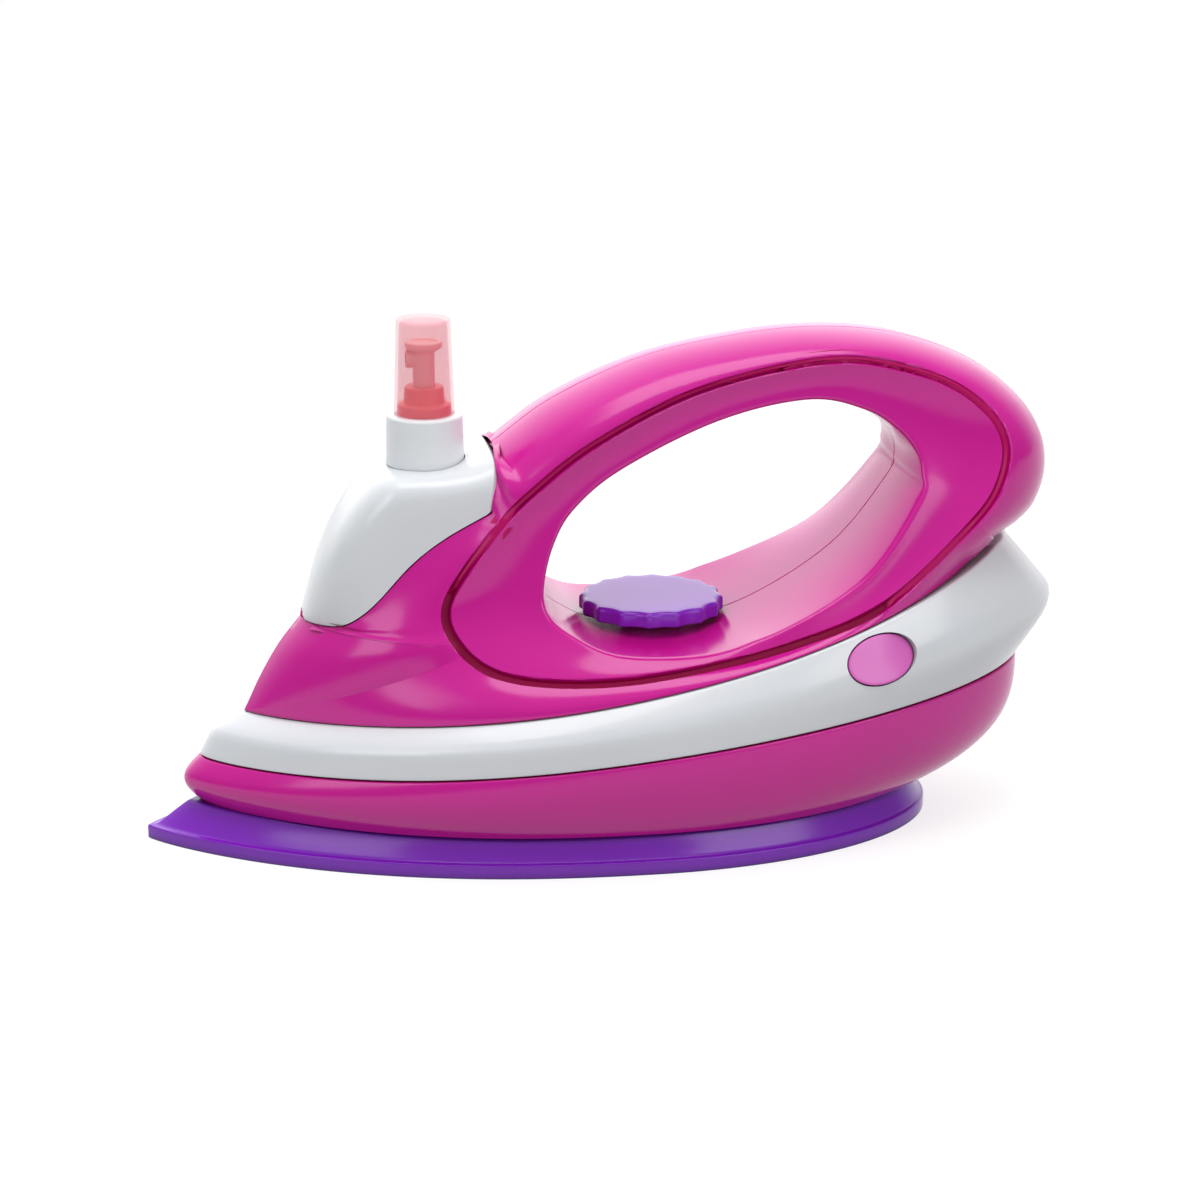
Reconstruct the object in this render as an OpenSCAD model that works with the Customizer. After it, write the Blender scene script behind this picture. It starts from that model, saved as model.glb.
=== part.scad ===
// Toy iron with a loop handle, a water tank with a fine-mist sprayer, a dial and a side button.
// All lengths are in millimetres. Stations run from the sole's tip to the heel along X, +Z is up,
// and the origin is under the middle of the object, on the sole's flat underside.

/* [Overall] */
// Length from the sole's tip to the back of the heel
overall_length = 222; // [206:1:240]

/* [Soleplate] */
// Length of the soleplate
sole_length = 190; // [180:1:200]
// Width of the soleplate
sole_width = 87; // [82:1:92]
// Height of the flat rim round the sole
rim_height = 3.4; // [3:0.1:4.5]
// Width of the ledge on top of the rim
rim_ledge = 1.1; // [0.6:0.1:1.6]
// Height of the raised plate above the rim
plate_rise = 5.9; // [5:0.1:8]
// How far the plate's wall leans in towards its top
plate_lean = 2.2; // [1:0.1:3]
// How far the plate's point lies behind the sole's tip
plate_set_back = 8; // [5:0.5:11]
// Thickness of the sole's floor and walls
sole_wall = 2; // [1.6:0.1:2.6]

/* [Base skirt] */
// Width of the skirt at its fullest
skirt_width = 91; // [88:1:96]
// Distance of the skirt's nose behind the sole's tip
skirt_nose = 9; // [7:0.5:11]
// Distance of the skirt's stern in front of the heel
skirt_stern = 9.6; // [8:0.1:12]
// Height of the skirt at its nose
skirt_height = 11; // [9:0.5:14]
// How much higher the skirt's top edge is at the stern than at the nose
skirt_climb = 18.6; // [16:0.2:21]
// How far the skirt's side tucks in at its foot
skirt_tuck = 4; // [2:0.5:6]
// How far the skirt's nose bulges past its foot and its top edge
skirt_bulge = 4; // [2:0.5:6]
// Thickness of the skirt's wall and floor
skirt_wall = 2.2; // [1.8:0.1:2.6]

/* [White band] */
// Width of the band at its crease
band_width = 89.4; // [86:0.2:94]
// Height of the band at its nose
band_height = 10.2; // [8:0.2:13]
// How much higher the band's top edge is at the heel than at the nose
band_climb = 37.3; // [34:0.1:40]
// Height of the heel's rearmost point above the bottom of the band there
heel_rise = 13.6; // [11:0.2:16]
// How far the heel's top edge lies in front of its rearmost point
heel_overhang = 13.4; // [10:0.2:16]
// Thickness of the band's wall
band_wall = 2.2; // [1.8:0.1:2.6]

/* [Upper body] */
// Height of the body from the band's nose to the crest of the handle
body_height = 88.6; // [82:0.2:96]
// Width of the body along the band
body_width = 79; // [76:1:83]
// Distance of the body's nose behind the sole's tip
body_nose = 23.7; // [22:0.1:26]
// Distance of the body's back in front of the heel, along the band
body_stern = 18; // [16:0.5:20]
// Width between the two groove lines at the saddle
waist_width = 73; // [70:0.5:76]
// Width between the two groove lines at the crest
grip_width = 31; // [27:0.5:36]
// Thickness of the body's walls
shell_wall = 2.2; // [1.8:0.1:2.6]
// Width of the groove round the handle
groove_width = 1.6; // [1:0.1:2.2]
// Depth of the groove round the handle
groove_depth = 0.9; // [0.4:0.1:1.2]

/* [Water tank] */
// Width of the tank along its lower edge, at the back
tank_width = 37; // [34:0.5:40]
// Thickness of the tank's wall
tank_wall = 1.8; // [1.4:0.1:2.2]
// Outer diameter of the tank's neck
neck_diameter = 13; // [12.6:0.1:13.6]
// Height of the neck above its spot face
neck_height = 8.6; // [7.6:0.2:9.6]
// Diameter of the neck's bore
neck_bore = 10; // [9.6:0.1:10.6]

/* [Sprayer] */
// Outer diameter of the screw collar
collar_diameter = 18.4; // [17:0.1:20]
// Height of the screw collar
collar_height = 11.8; // [11.4:0.1:13]
// Diameter of the overcap at its foot
cap_diameter = 14.4; // [14:0.1:15.4]
// Diameter of the overcap at its top
cap_top_diameter = 12.8; // [12.4:0.1:13.6]
// Height of the overcap
cap_height = 22.6; // [22:0.1:25]
// Thickness of the overcap's wall
cap_wall = 0.8; // [0.6:0.1:0.9]
// Diameter of the spray head's finger pad
pad_diameter = 8.8; // [8:0.1:9.6]
// Thickness of the spray head's finger pad
pad_thickness = 1.8; // [1.4:0.1:2.2]
// Diameter of the spray head's stalk
stalk_diameter = 5.2; // [4.8:0.1:5.6]
// Height of the finger pad's top above the collar
pad_height = 17.2; // [16.6:0.1:18]
// How far the spray head goes down
spray_travel = 4; // [3:0.2:4.4]
// Outer diameter of the pump's barrel
barrel_diameter = 8.4; // [8:0.1:9]
// Length of the pump's barrel below the neck
barrel_length = 14; // [13:0.5:15]
// Outer diameter of the dip tube
dip_diameter = 3; // [2.6:0.1:3.4]
// Length of the dip tube
dip_length = 8; // [6:0.5:9]

/* [Dial] */
// Diameter of the dial over its ridges
dial_diameter = 34.6; // [32:0.2:36]
// Thickness of the dial
dial_thickness = 3.7; // [3.2:0.1:4.4]
// Number of hollow flutes round the dial
flute_count = 16; // [12:1:20]
// Depth of each flute
flute_depth = 0.8; // [0.4:0.1:1.2]
// Diameter of the dial's spindle
spindle_diameter = 6; // [5:0.2:7]
// Height of the dial above the saddle
dial_lift = 2.1; // [1.9:0.1:2.4]

/* [Button] */
// Length of the oval button
button_length = 17.4; // [15:0.2:19]
// Width of the oval button
button_width = 11.4; // [10:0.2:12]
// How far the button goes in
button_travel = 1.5; // [1:0.1:2]
// Depth of the circuit board behind the button's face
board_depth = 12.5; // [12:0.1:14]
// Length of the circuit board
board_length = 32; // [28:1:34]
// Width of the circuit board
board_width = 15; // [13:0.5:16]

/* [Power and sound] */
// Diameter of one cell
cell_diameter = 14.5; // [14:0.1:14.5]
// Length of one cell
cell_length = 50.5; // [49:0.1:50.5]
// Diameter of the loudspeaker
speaker_diameter = 28; // [24:1:30]
// Height of the loudspeaker
speaker_height = 7; // [5:0.5:8]

/* [Fasteners] */
// Diameter of the screws' shanks
screw_diameter = 2.6; // [2.2:0.1:2.8]
// Diameter of the screws' heads
head_diameter = 5; // [4.6:0.1:5.4]
// Thickness of the screws' heads
head_thickness = 1.8; // [1.4:0.1:2]
// Outer diameter of the screw bosses
boss_diameter = 7.6; // [7:0.2:8]

/* [Fits] */
// Gap left open along the seams between casing pieces
seam_gap = 0.25; // [0.2:0.05:0.35]
// Radial gap of a pin that turns or slides in its hole
running_gap = 0.06; // [0.03:0.01:0.1]
// Radial gap round a screw or a drop-in piece
loose_gap = 0.25; // [0.2:0.05:0.4]
// Gap round the button in its opening
button_gap = 0.35; // [0.3:0.05:0.45]

/* [Hidden] */
$fn = 48;

// Overrun of every cut past the face it opens
cut = 1;

// How fine the casing's lofted faces are
plan_steps = 30;
crest_steps = 24;
step_steps = 4;
diagonal_steps = 8;
ridge_steps = 5;
foot_steps = 26;
tank_steps = 13;
arch_steps = 14;

// Fullness of the plan outlines: the power and root of each end's curve
nose_power = 2.3;
nose_root = 0.86;
tank_front_root = 0.65;
tail_power = 2;
body_tail_power = 2.4;
tail_root = 0.5;

// Where each plan outline is widest, as a share of its own length
sole_wide_share = 0.615;
skirt_wide_share = 0.52;
band_wide_share = 0.48;
body_wide_share = 0.51;

// Heights of the stacked casing pieces
plate_top = rim_height + plate_rise;
skirt_floor = plate_top + skirt_wall;
skirt_top = plate_top + skirt_height;
band_foot = skirt_top + seam_gap;
body_base = band_foot + band_height;

// Stations of the casing pieces
skirt_tail = overall_length - skirt_stern;
skirt_foot_tail = sole_length - sole_wall;
band_nose = skirt_nose + skirt_bulge;
crease_nose_share = 0.3;
crease_nose = band_nose + (body_nose - band_nose) * crease_nose_share;
heel_top = overall_length - heel_overhang;
body_tail = overall_length - body_stern;

// How the sheer lines climb: the power of the skirt's line, the straight share of the others
skirt_sheer_power = 1.35;
stern_power = 3.2;
band_straight_share = 0.4;
crease_straight_share = 0.5;
crease_start_share = 0.62;

function lerp(a, b, t) = a + (b - a) * t;
function unit(v) = v / max(norm(v), 1e-9);
function sheer(t, straight) = straight * t + (1 - straight) * t * t * t;

// Half width of a plan outline at station s
function plan_half(s, nose, wide, tail, half, power, root = nose_root) = s <= wide
    ? half * pow(max(0, 1 - pow((wide - s) / (wide - nose), nose_power)), root)
    : half * pow(max(0, 1 - pow((s - wide) / (tail - wide), power)), tail_root);

// A closed ring of points along the near side to the tail and back along the far side
function ring(nose, wide, tail, half, height, power = tail_power) =
    let (near = [for (i = [0 : plan_steps])
        let (s = lerp(nose, tail, (1 - cos(180 * i / plan_steps)) / 2))
        [s, -plan_half(s, nose, wide, tail, half, power), height(s)]])
    concat(near, [for (i = [plan_steps - 1 : -1 : 1]) [near[i].x, -near[i].y, near[i].z]]);

// The two triangles between neighbouring rings a and b, at their points i and j
function patch(a, b, i, j) = [[a + i, b + i, b + j], [a + i, b + j, a + j]];

// A solid through a list of rings, flat across its first and last ring
module loft(rings) {
    count = len(rings[0]);
    last = len(rings) - 1;
    sides = [for (k = [0 : last - 1], i = [0 : count - 1])
        each patch(k * count, (k + 1) * count, i, (i + 1) % count)];
    foot = [for (i = [0 : count / 2 - 1]) let (m = count - i)
        each i == 0 ? [[0, 1, m - 1]]
            : i == count / 2 - 1 ? [[i, i + 1, m]] : [[i, i + 1, m - 1], [i, m - 1, m]]];
    lid = [for (f = foot) [f[2], f[1], f[0]] + last * count * [1, 1, 1]];
    polyhedron(points = [for (r = rings) each r], faces = concat(foot, sides, lid), convexity = 8);
}

// A ring-shaped solid through a closed list of rings
module hoop(rings) {
    count = len(rings[0]);
    total = len(rings);
    polyhedron(points = [for (r = rings) each r], convexity = 12,
        faces = [for (k = [0 : total - 1], i = [0 : count - 1])
            each patch(k * count, ((k + 1) % total) * count, i, (i + 1) % count)]);
}

// Smooth curve through hand-chosen points, open or closed, at t from 0 to 1
function spline(p, q, r, w, u) = 0.5 * (2 * q + (r - p) * u + (2 * p - 5 * q + 4 * r - w) * u * u
    + (3 * q - p - 3 * r + w) * u * u * u);
function open_curve(pts, t) = let (n = len(pts) - 1, i = min(n - 1, floor(t * n)))
    spline(i > 0 ? pts[i - 1] : 2 * pts[0] - pts[1], pts[i], pts[i + 1],
        i < n - 1 ? pts[i + 2] : 2 * pts[n] - pts[n - 1], t * n - i);
function closed_curve(pts, m) = let (n = len(pts), i = floor(m))
    spline(pts[(i + n - 1) % n], pts[i % n], pts[(i + 1) % n], pts[(i + 2) % n], m - i);

// A coil spring about Z with its foot at z = 0; it prints the least gap between its curls
curl_rings = 8;
wire_sides = 6;
module coil(mean_r, wire_r, height, turns) {
    last = turns * curl_rings;
    line = [for (i = [0 : last]) let (a = 360 * i / curl_rings)
        [mean_r * cos(a), mean_r * sin(a), lerp(wire_r, height - wire_r, i / last)]];
    rings = [for (i = [0 : last]) let (a = 360 * i / curl_rings)
        [for (j = [0 : wire_sides - 1]) let (b = 360 * j / wire_sides)
            line[i] + wire_r * [cos(a) * cos(b), sin(a) * cos(b), sin(b)]]];
    echo(curl_gap = min([for (i = [0 : last], j = [i + curl_rings - 1 : 1 : last])
        norm(line[j] - line[i]) - 2 * wire_r]));
    polyhedron(points = [for (r = rings) each r], convexity = 12, faces = concat(
        [for (k = [0 : last - 1], j = [0 : wire_sides - 1])
            each patch(k * wire_sides, (k + 1) * wire_sides, j, (j + 1) % wire_sides)],
        [for (j = [1 : wire_sides - 2]) [0, j, j + 1]],
        [for (j = [1 : wire_sides - 2]) [0, j + 1, j] + last * wire_sides * [1, 1, 1]]));
}

// A pan-head screw standing on its head, shank up
module screw(length, shank = screw_diameter, head = head_diameter, thick = head_thickness) {
    cylinder(d = head, h = thick);
    cylinder(d = shank, h = thick + length);
}

// Puts stations, counted from the sole's tip, into the object's own frame
module from_tip() translate([-overall_length / 2, 0, 0]) children();

// Sheer lines of the skirt, the band's crease and the band's top edge
skirt_wide = lerp(skirt_nose, skirt_tail, skirt_wide_share);
band_wide = lerp(band_nose, overall_length, band_wide_share);
body_wide = lerp(body_nose, body_tail, body_wide_share);
skirt_edge = function(s) skirt_top
    + skirt_climb * pow(max(0, (s - skirt_nose) / (skirt_tail - skirt_nose)), skirt_sheer_power);
heel_z = skirt_edge(skirt_tail) + heel_rise;
crease_start = lerp(band_foot, body_base, crease_start_share);
crease_line = function(s) crease_start + (heel_z - crease_start)
    * sheer(max(0, (s - crease_nose) / (overall_length - crease_nose)), crease_straight_share);
band_edge = function(s) body_base
    + band_climb * sheer(min(1, max(0, (s - body_nose) / (body_tail - body_nose))), band_straight_share);

// Soleplate
sole_wide = sole_length * sole_wide_share;
plate_round_share = 0.75;
function sole_ring(z, inset, back) = ring(back, sole_wide, sole_length - inset, sole_width / 2 - inset,
    function(s) z);
plate_inset = rim_ledge + plate_lean;

// Battery bay, counted from the soleplate up
bay_station_share = 0.51;
bay_station = overall_length * bay_station_share;
bay_wall = 1.6;
cell_gap = 0.6;
spring_room = 3.4;
plate_thickness = 0.5;
bay_length = cell_length + spring_room + 2 * plate_thickness;
bay_width = 2 * (cell_diameter + cell_gap);
door_ledge = 1.4;
door_thickness = sole_wall / 2;
door_rib_width = 3;
door_inset = 3;
bay_shoulder = 3;
cup_wall = 1.2;
cup_diameter = head_diameter + 2 * (loose_gap + cup_wall);
cup_depth = head_thickness + loose_gap;
cup_height = cup_depth + cup_wall;
cup_reach = 6.6;
cup_station = bay_station - bay_length / 2 - cup_reach;
cell_z = sole_wall + cell_diameter / 2;
bay_top = cell_z + cell_diameter / 2 + cell_gap;

// Base screws, in pairs along both sides
base_screw_shares = [0.27, 0.64];
base_screw_stations = overall_length * base_screw_shares;
function boss_y(s) = plan_half(s, 0, sole_wide, sole_length, sole_width / 2, tail_power)
    - plate_inset - 2 * rim_ledge - boss_diameter / 2;
base_screw_reach = 9;
rib_thickness = 2.4;

// Grille under the loudspeaker
speaker_station_share = 0.74;
speaker_station = overall_length * speaker_station_share;
grille_hole = 2;
grille_ring_share = 0.27;
grille_count = 6;

module at_base_screws() for (s = base_screw_stations, side = [-1, 1])
    let ($station = s, $side = side) translate([s, side * boss_y(s), 0]) children();

module grille_cuts(top) translate([speaker_station, 0, -cut]) {
    cylinder(d = grille_hole, h = top + 2 * cut);
    for (i = [0 : grille_count - 1]) rotate(360 * i / grille_count)
        translate([speaker_diameter * grille_ring_share, 0, 0])
            cylinder(d = grille_hole, h = top + 2 * cut);
}

module block(length, width, low, high) translate([bay_station - length / 2, -width / 2, low])
    cube([length, width, high - low]);

module soleplate() color("#7a2bb0") from_tip() difference() {
    union() {
        loft([sole_ring(0, 0, 0), sole_ring(rim_height, 0, 0),
            sole_ring(rim_height, rim_ledge, 2 * rim_ledge),
            sole_ring(lerp(rim_height, plate_top, plate_round_share), plate_inset, plate_set_back),
            sole_ring(plate_top, plate_inset + rim_ledge, plate_set_back + 2 * rim_ledge),
            sole_ring(plate_top, plate_inset + rim_ledge + sole_wall, plate_set_back + 3 * sole_wall),
            sole_ring(sole_wall, plate_inset + sole_wall, plate_set_back + 2 * sole_wall)]);
        at_base_screws() cylinder(d = boss_diameter, h = plate_top);
    }
    block(bay_length, bay_width, -cut, sole_wall + cut);
    block(bay_length + 2 * door_ledge, bay_width + 2 * door_ledge, -cut, door_thickness);
    translate([cup_station, 0, -cut]) cylinder(d = cup_diameter + 2 * loose_gap, h = sole_wall + 2 * cut);
    translate([cup_station, -cup_diameter / 2 - loose_gap, -cut])
        cube([cup_reach, cup_diameter + 2 * loose_gap, cut + door_thickness]);
    at_base_screws() {
        translate([0, 0, -cut])
            cylinder(d = head_diameter + 2 * loose_gap, h = cut + plate_top - sole_wall);
        cylinder(d = screw_diameter + 2 * loose_gap, h = plate_top + cut);
    }
    grille_cuts(sole_wall);
}

// Base skirt
skirt_levels = [0, 0.1, 0.25, 0.42, 0.6, 0.78, 0.92, 1];
skirt_roll_share = 0.16;
function skirt_ring(t, inset) = let (
    nose = skirt_nose + inset + skirt_bulge * (1 - sin(180 * t)),
    tail = lerp(skirt_foot_tail, skirt_tail, 1 - pow(1 - t, stern_power)) - inset,
    half = skirt_width / 2 - inset - skirt_tuck * (pow(1 - t, 3) + skirt_roll_share * pow(t, 6)))
    ring(nose, skirt_wide, tail, half, function(s) lerp(plate_top, skirt_edge(s), t));
skirt_floor_ring = let (r = skirt_ring(skirt_levels[1], skirt_wall))
    [for (p = r) [p.x, p.y, skirt_floor]];
skirt_inner_levels = [1, 0.6, 0.3];

module base_skirt() color("#c8288c") from_tip() difference() {
    loft(concat([for (t = skirt_levels) skirt_ring(t, 0)],
        [for (t = skirt_inner_levels) skirt_ring(t, skirt_wall)], [skirt_floor_ring]));
    block(bay_length + 2 * (bay_wall + loose_gap), bay_width + 2 * (bay_wall + loose_gap),
        plate_top - cut, skirt_floor + cut);
    at_base_screws() translate([0, 0, plate_top - cut])
        cylinder(d = screw_diameter + 2 * loose_gap, h = skirt_wall + 2 * cut);
    translate([0, 0, plate_top]) grille_cuts(skirt_wall);
}

// White band: the crease divides its upright lower face from its leaning upper face
band_foot_half = skirt_width / 2 - skirt_tuck * skirt_roll_share;
function band_foot_ring(inset) = ring(band_nose + inset, skirt_wide, skirt_tail - inset,
    band_foot_half - inset, function(s) skirt_edge(s) + seam_gap);
function crease_ring(inset) = ring(crease_nose + inset, band_wide, overall_length - inset,
    band_width / 2 - inset, crease_line);
function band_top_ring(inset, tail) = ring(body_nose + inset, body_wide, tail - inset,
    body_width / 2 - inset, band_edge, body_tail_power);
function mix_ring(a, b, t, swell) = [for (i = [0 : len(a) - 1])
    let (p = lerp(a[i], b[i], t)) p + swell * 4 * t * (1 - t) * [0, sign(p.y), 0]];
band_swell = 0.9;
low_face_shares = [0.35, 0.8];
high_face_shares = [0.12, 0.4, 0.7, 0.92];

// Button: its frame has +Z out of the band's upper face and +X along the oval
button_station_share = 0.767;
button_station = overall_length * button_station_share;
button_level_share = 0.44;
crease_half = plan_half(button_station, crease_nose, band_wide, overall_length, band_width / 2, tail_power);
edge_half = plan_half(button_station, body_nose, body_wide, body_tail, body_width / 2, body_tail_power);
button_y = lerp(crease_half, edge_half, button_level_share) + band_swell;
button_z = lerp(crease_line(button_station), band_edge(button_station), button_level_share);
button_turn = 15.5;
button_tilt = 20;
button_roll = 9;
post_share = 0.42;
post_diameter = 5;

module at_button() translate([button_station, -button_y, button_z])
    rotate([90 - button_tilt, 0, button_turn]) rotate(button_roll) children();

oval_sides = 96;
module oval(length, width, height) scale([length / width, 1, 1])
    cylinder(d = width, h = height, $fn = oval_sides);

// A screw boss on the skirt's floor, tied to the band's wall by a rib
module band_boss() {
    top = crease_line($station);
    foot = skirt_edge($station) + 2 * seam_gap;
    reach = plan_half($station, crease_nose, band_wide, overall_length, band_width / 2, tail_power)
        - band_wall / 2 - boss_y($station);
    translate([0, 0, skirt_floor]) cylinder(d = boss_diameter, h = top - skirt_floor);
    translate([-rib_thickness / 2, $side > 0 ? 0 : -reach, foot])
        cube([rib_thickness, reach, top - foot]);
}

module white_band() color("#e6ebf0") from_tip() difference() {
    union() {
        hoop(let (foot = band_foot_ring(0), crease = crease_ring(0), top = band_top_ring(0, heel_top))
            concat([foot], [for (t = low_face_shares) mix_ring(foot, crease, t, 0)], [crease],
                [for (t = high_face_shares) mix_ring(crease, top, t, band_swell)],
                [top, band_top_ring(band_wall, body_tail), crease_ring(band_wall), band_foot_ring(band_wall)]));
        at_base_screws() band_boss();
        at_button() for (side = [-1, 1]) translate([side * board_length * post_share, 0, -board_depth])
            cylinder(d = post_diameter, h = board_depth - band_wall / 2 - band_swell);
    }
    at_base_screws() translate([0, 0, skirt_floor - cut])
        cylinder(d = screw_diameter, h = base_screw_reach + 2 * cut);
    at_button() {
        translate([0, 0, -board_depth / 2])
            oval(button_length + 2 * button_gap, button_width + 2 * button_gap, board_depth);
        for (side = [-1, 1]) translate([side * board_length * post_share, 0, -board_depth - cut])
            cylinder(d = board_screw_diameter, h = board_screw_length + cut);
    }
}

// Side view outlines of the body, as shares of the overall length and of the body's height
crest_shares = [[0.947, 0.457], [0.968, 0.507], [0.980, 0.596], [0.975, 0.698], [0.948, 0.801],
    [0.894, 0.902], [0.811, 0.977], [0.720, 1], [0.626, 0.980], [0.534, 0.931], [0.441, 0.830],
    [0.377, 0.717]];
diagonal_shares = [[0.366, 0.577], [0.317, 0.511], [0.282, 0.444], [0.248, 0.351], [0.230, 0.307],
    [0.2135, 0.277], [0.197, 0.263], [0.170, 0.260]];
ridge_shares = [[0.170, 0.260], [0.148, 0.193], [0.133, 0.133], [0.121, 0.077], [0.112, 0.029]];
groove_shares = [[0.876, 0.520], [0.908, 0.630], [0.912, 0.737], [0.883, 0.831], [0.827, 0.904],
    [0.730, 0.945], [0.590, 0.881], [0.477, 0.760], [0.403, 0.640], [0.358, 0.527], [0.317, 0.348],
    [0.327, 0.240], [0.369, 0.170], [0.450, 0.155], [0.563, 0.177], [0.676, 0.229], [0.779, 0.325]];
hole_shares = [[0.809, 0.585], [0.816, 0.641], [0.813, 0.692], [0.795, 0.748], [0.761, 0.800],
    [0.703, 0.826], [0.608, 0.777], [0.509, 0.669], [0.4585, 0.575], [0.435, 0.485], [0.423, 0.379],
    [0.426, 0.314], [0.4485, 0.260], [0.4955, 0.211], [0.5856, 0.208], [0.662, 0.2625], [0.750, 0.402]];

function side(share) = [share[0] * overall_length, body_base + share[1] * body_height];
function side_curve(shares) = [for (p = shares) side(p)];
groove_line = side_curve(groove_shares);
hole_line = side_curve(hole_shares);

// Where the corners of the outer outline meet the groove, counted in groove points
match_step_top = 8;
match_step_foot = 8.8;
match_tank_front = 10.6;
match_nose = 11.1;
match_foot = 12;
match_all = 17;

// Half width of the body's side: drawn in towards the nose and towards the crest
waist_power = 0.9;
waist_level_share = 0.15;
grip_level_share = 0.81;
draw_power = 1.7;
draw_root = 0.9;
function side_half(s, z) = let (
    high = max(0, (z - body_base) / body_height - waist_level_share) / grip_level_share,
    fore = max(0, body_wide - s) / (body_wide - body_nose))
    pow(1 - pow(min(1, fore), draw_power), draw_root)
    * (waist_width - (waist_width - grip_width) * pow(high, waist_power)) / 2;

// The body's outer outline on the near side: each entry is a point, its place along the groove and,
// along the nose and the foot, the start and the root of the plan outline through it
step_half = tank_width / 2;
step_top = side(crest_shares[len(crest_shares) - 1]);
step_foot = side(diagonal_shares[0]);
foot_z = function(s) band_edge(s) + seam_gap;
crest_line = concat([[body_tail, foot_z(body_tail)]], side_curve(crest_shares));
diagonal_line = side_curve(diagonal_shares);
ridge_line = concat(side_curve(ridge_shares), [[body_nose, foot_z(body_nose)]]);
tank_edge_power = 3;
foot_match_shares = [0.369, 0.45, 0.563, 0.676, 0.779];
foot_match = concat([[body_nose, match_nose]],
    [for (i = [0 : len(foot_match_shares) - 1]) [overall_length * foot_match_shares[i], match_foot + i]],
    [[body_tail, match_all]]);
function tank_edge_half(t) = step_half * sqrt(1 - pow(t, tank_edge_power));

outline = concat(
    [for (j = [0 : crest_steps - 1]) let (t = j / crest_steps, p = open_curve(crest_line, t))
        [[p[0], 0, p[1]], match_step_top * t]],
    [for (j = [0 : step_steps - 1]) let (t = j / step_steps, a = 90 * t)
        [[lerp(step_top[0], step_foot[0], t), -step_half * sin(a), lerp(step_foot[1], step_top[1], cos(a))],
            lerp(match_step_top, match_step_foot, t)]],
    [for (j = [0 : diagonal_steps - 1]) let (t = j / diagonal_steps, p = open_curve(diagonal_line, t))
        [[p[0], -tank_edge_half(t), p[1]], lerp(match_step_foot, match_tank_front, t)]],
    [for (j = [0 : ridge_steps - 1]) let (t = j / ridge_steps, p = open_curve(ridge_line, t))
        [[p[0], 0, p[1]], lerp(match_tank_front, match_nose, t), p[0],
            lerp(tank_front_root, nose_root, t)]],
    [for (j = [0 : foot_steps - 1]) let (t = j / foot_steps,
        s = lerp(body_nose, body_tail, (1 - cos(180 * t)) / 2))
        [[s, -body_plan(s, body_nose, nose_root), foot_z(s)],
            lookup(s, foot_match), body_nose, nose_root]]);

// Shape of one cross-section: rounded outer band, dished panel, flared wall of the hand hole
band_cuts = 5;
panel_cuts = 4;
wall_cuts = 3;
upright_from = 0.6;
edge_shares = [0.95, 0.90, 0.86, 0.84, 0.84, 0.84, 0.84, 0.84, 0.84, 0.84, 0.84, 0.84, 0.86, 0.90,
    0.95, 1.0, 0.98];
flare_shares = [0.9, 0.75, 0.65, 0.6, 0.6, 0.6, 0.6, 0.6, 0.6, 0.55, 0.5, 0.4, 0.2, 0, -0.45, -0.2,
    0.75];
dish = 0.8;
flare = 2.4;
roll_power = 3;

function body_plan(s, nose, root) = plan_half(s, nose, body_wide, body_tail, body_width / 2,
    body_tail_power, root);

function section(entry) = let (
    rim = entry[0],
    o = [rim.x, rim.z],
    g = closed_curve(groove_line, entry[1]),
    h = closed_curve(hole_line, entry[1]),
    e = h + unit(g - h) * flare * closed_curve(flare_shares, entry[1]),
    rim_half = -rim.y,
    groove_half = side_half(g[0], g[1]),
    edge_half = closed_curve(edge_shares, entry[1]) * side_half(e[0], e[1]),
    upright = min(1, max(0, (rim_half / groove_half - upright_from) / (1 - upright_from))))
    concat(
        [for (k = [0 : band_cuts]) let (a = 90 * k / band_cuts,
            along = is_undef(entry[2]) ? lerp(1 - cos(a), sin(a), upright) : k / band_cuts,
            p = lerp(o, g, along))
            [p[0], -(is_undef(entry[2])
                ? lerp(rim_half, groove_half, lerp(sin(a), 1 - cos(a), upright))
                : body_plan(p[0], entry[2], entry[3])
                    * lerp(1, groove_half / body_plan(g[0], entry[2], entry[3]), along * along)), p[1]]],
        [for (k = [1 : panel_cuts]) let (t = k / panel_cuts, p = lerp(g, e, t))
            [p[0], -lerp(groove_half, edge_half, t) + dish * sin(180 * t), p[1]]],
        [for (k = [1 : wall_cuts]) let (t = k / wall_cuts, p = lerp(e, h, 1 - pow(1 - t, roll_power)))
            [p[0], -edge_half * (1 - t), p[1]]]);

skin = [for (entry = outline) section(entry)];
around = len(skin);
across = len(skin[0]);

// Inward direction at a point of the skin, and the point one wall thickness inside it
function inward(i, k) = unit(cross(
    skin[i][min(k + 1, across - 1)] - skin[i][max(k - 1, 0)],
    skin[(i + 1) % around][k] - skin[(i + around - 1) % around][k]));
function over_foot(p) = [p.x, min(0, p.y), max(p.z, foot_z(p.x))];
function inner(i, k) = k == 0
    ? let (p = skin[i][0], open = min(1, -p.y / (2 * shell_wall)),
        d = unit([skin[i][band_cuts].x - p.x, 0, min(0, skin[i][band_cuts].z - p.z)]))
        [p.x, min(0, p.y + shell_wall * open), p.z] + d * shell_wall * (1 - open)
    : k == across - 1 ? let (p = skin[i][k], q = skin[i][band_cuts],
        d = unit([q.x - p.x, 0, q.z - p.z])) over_foot(p + d * shell_wall)
    : over_foot(skin[i][k] + inward(i, k) * shell_wall);

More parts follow.
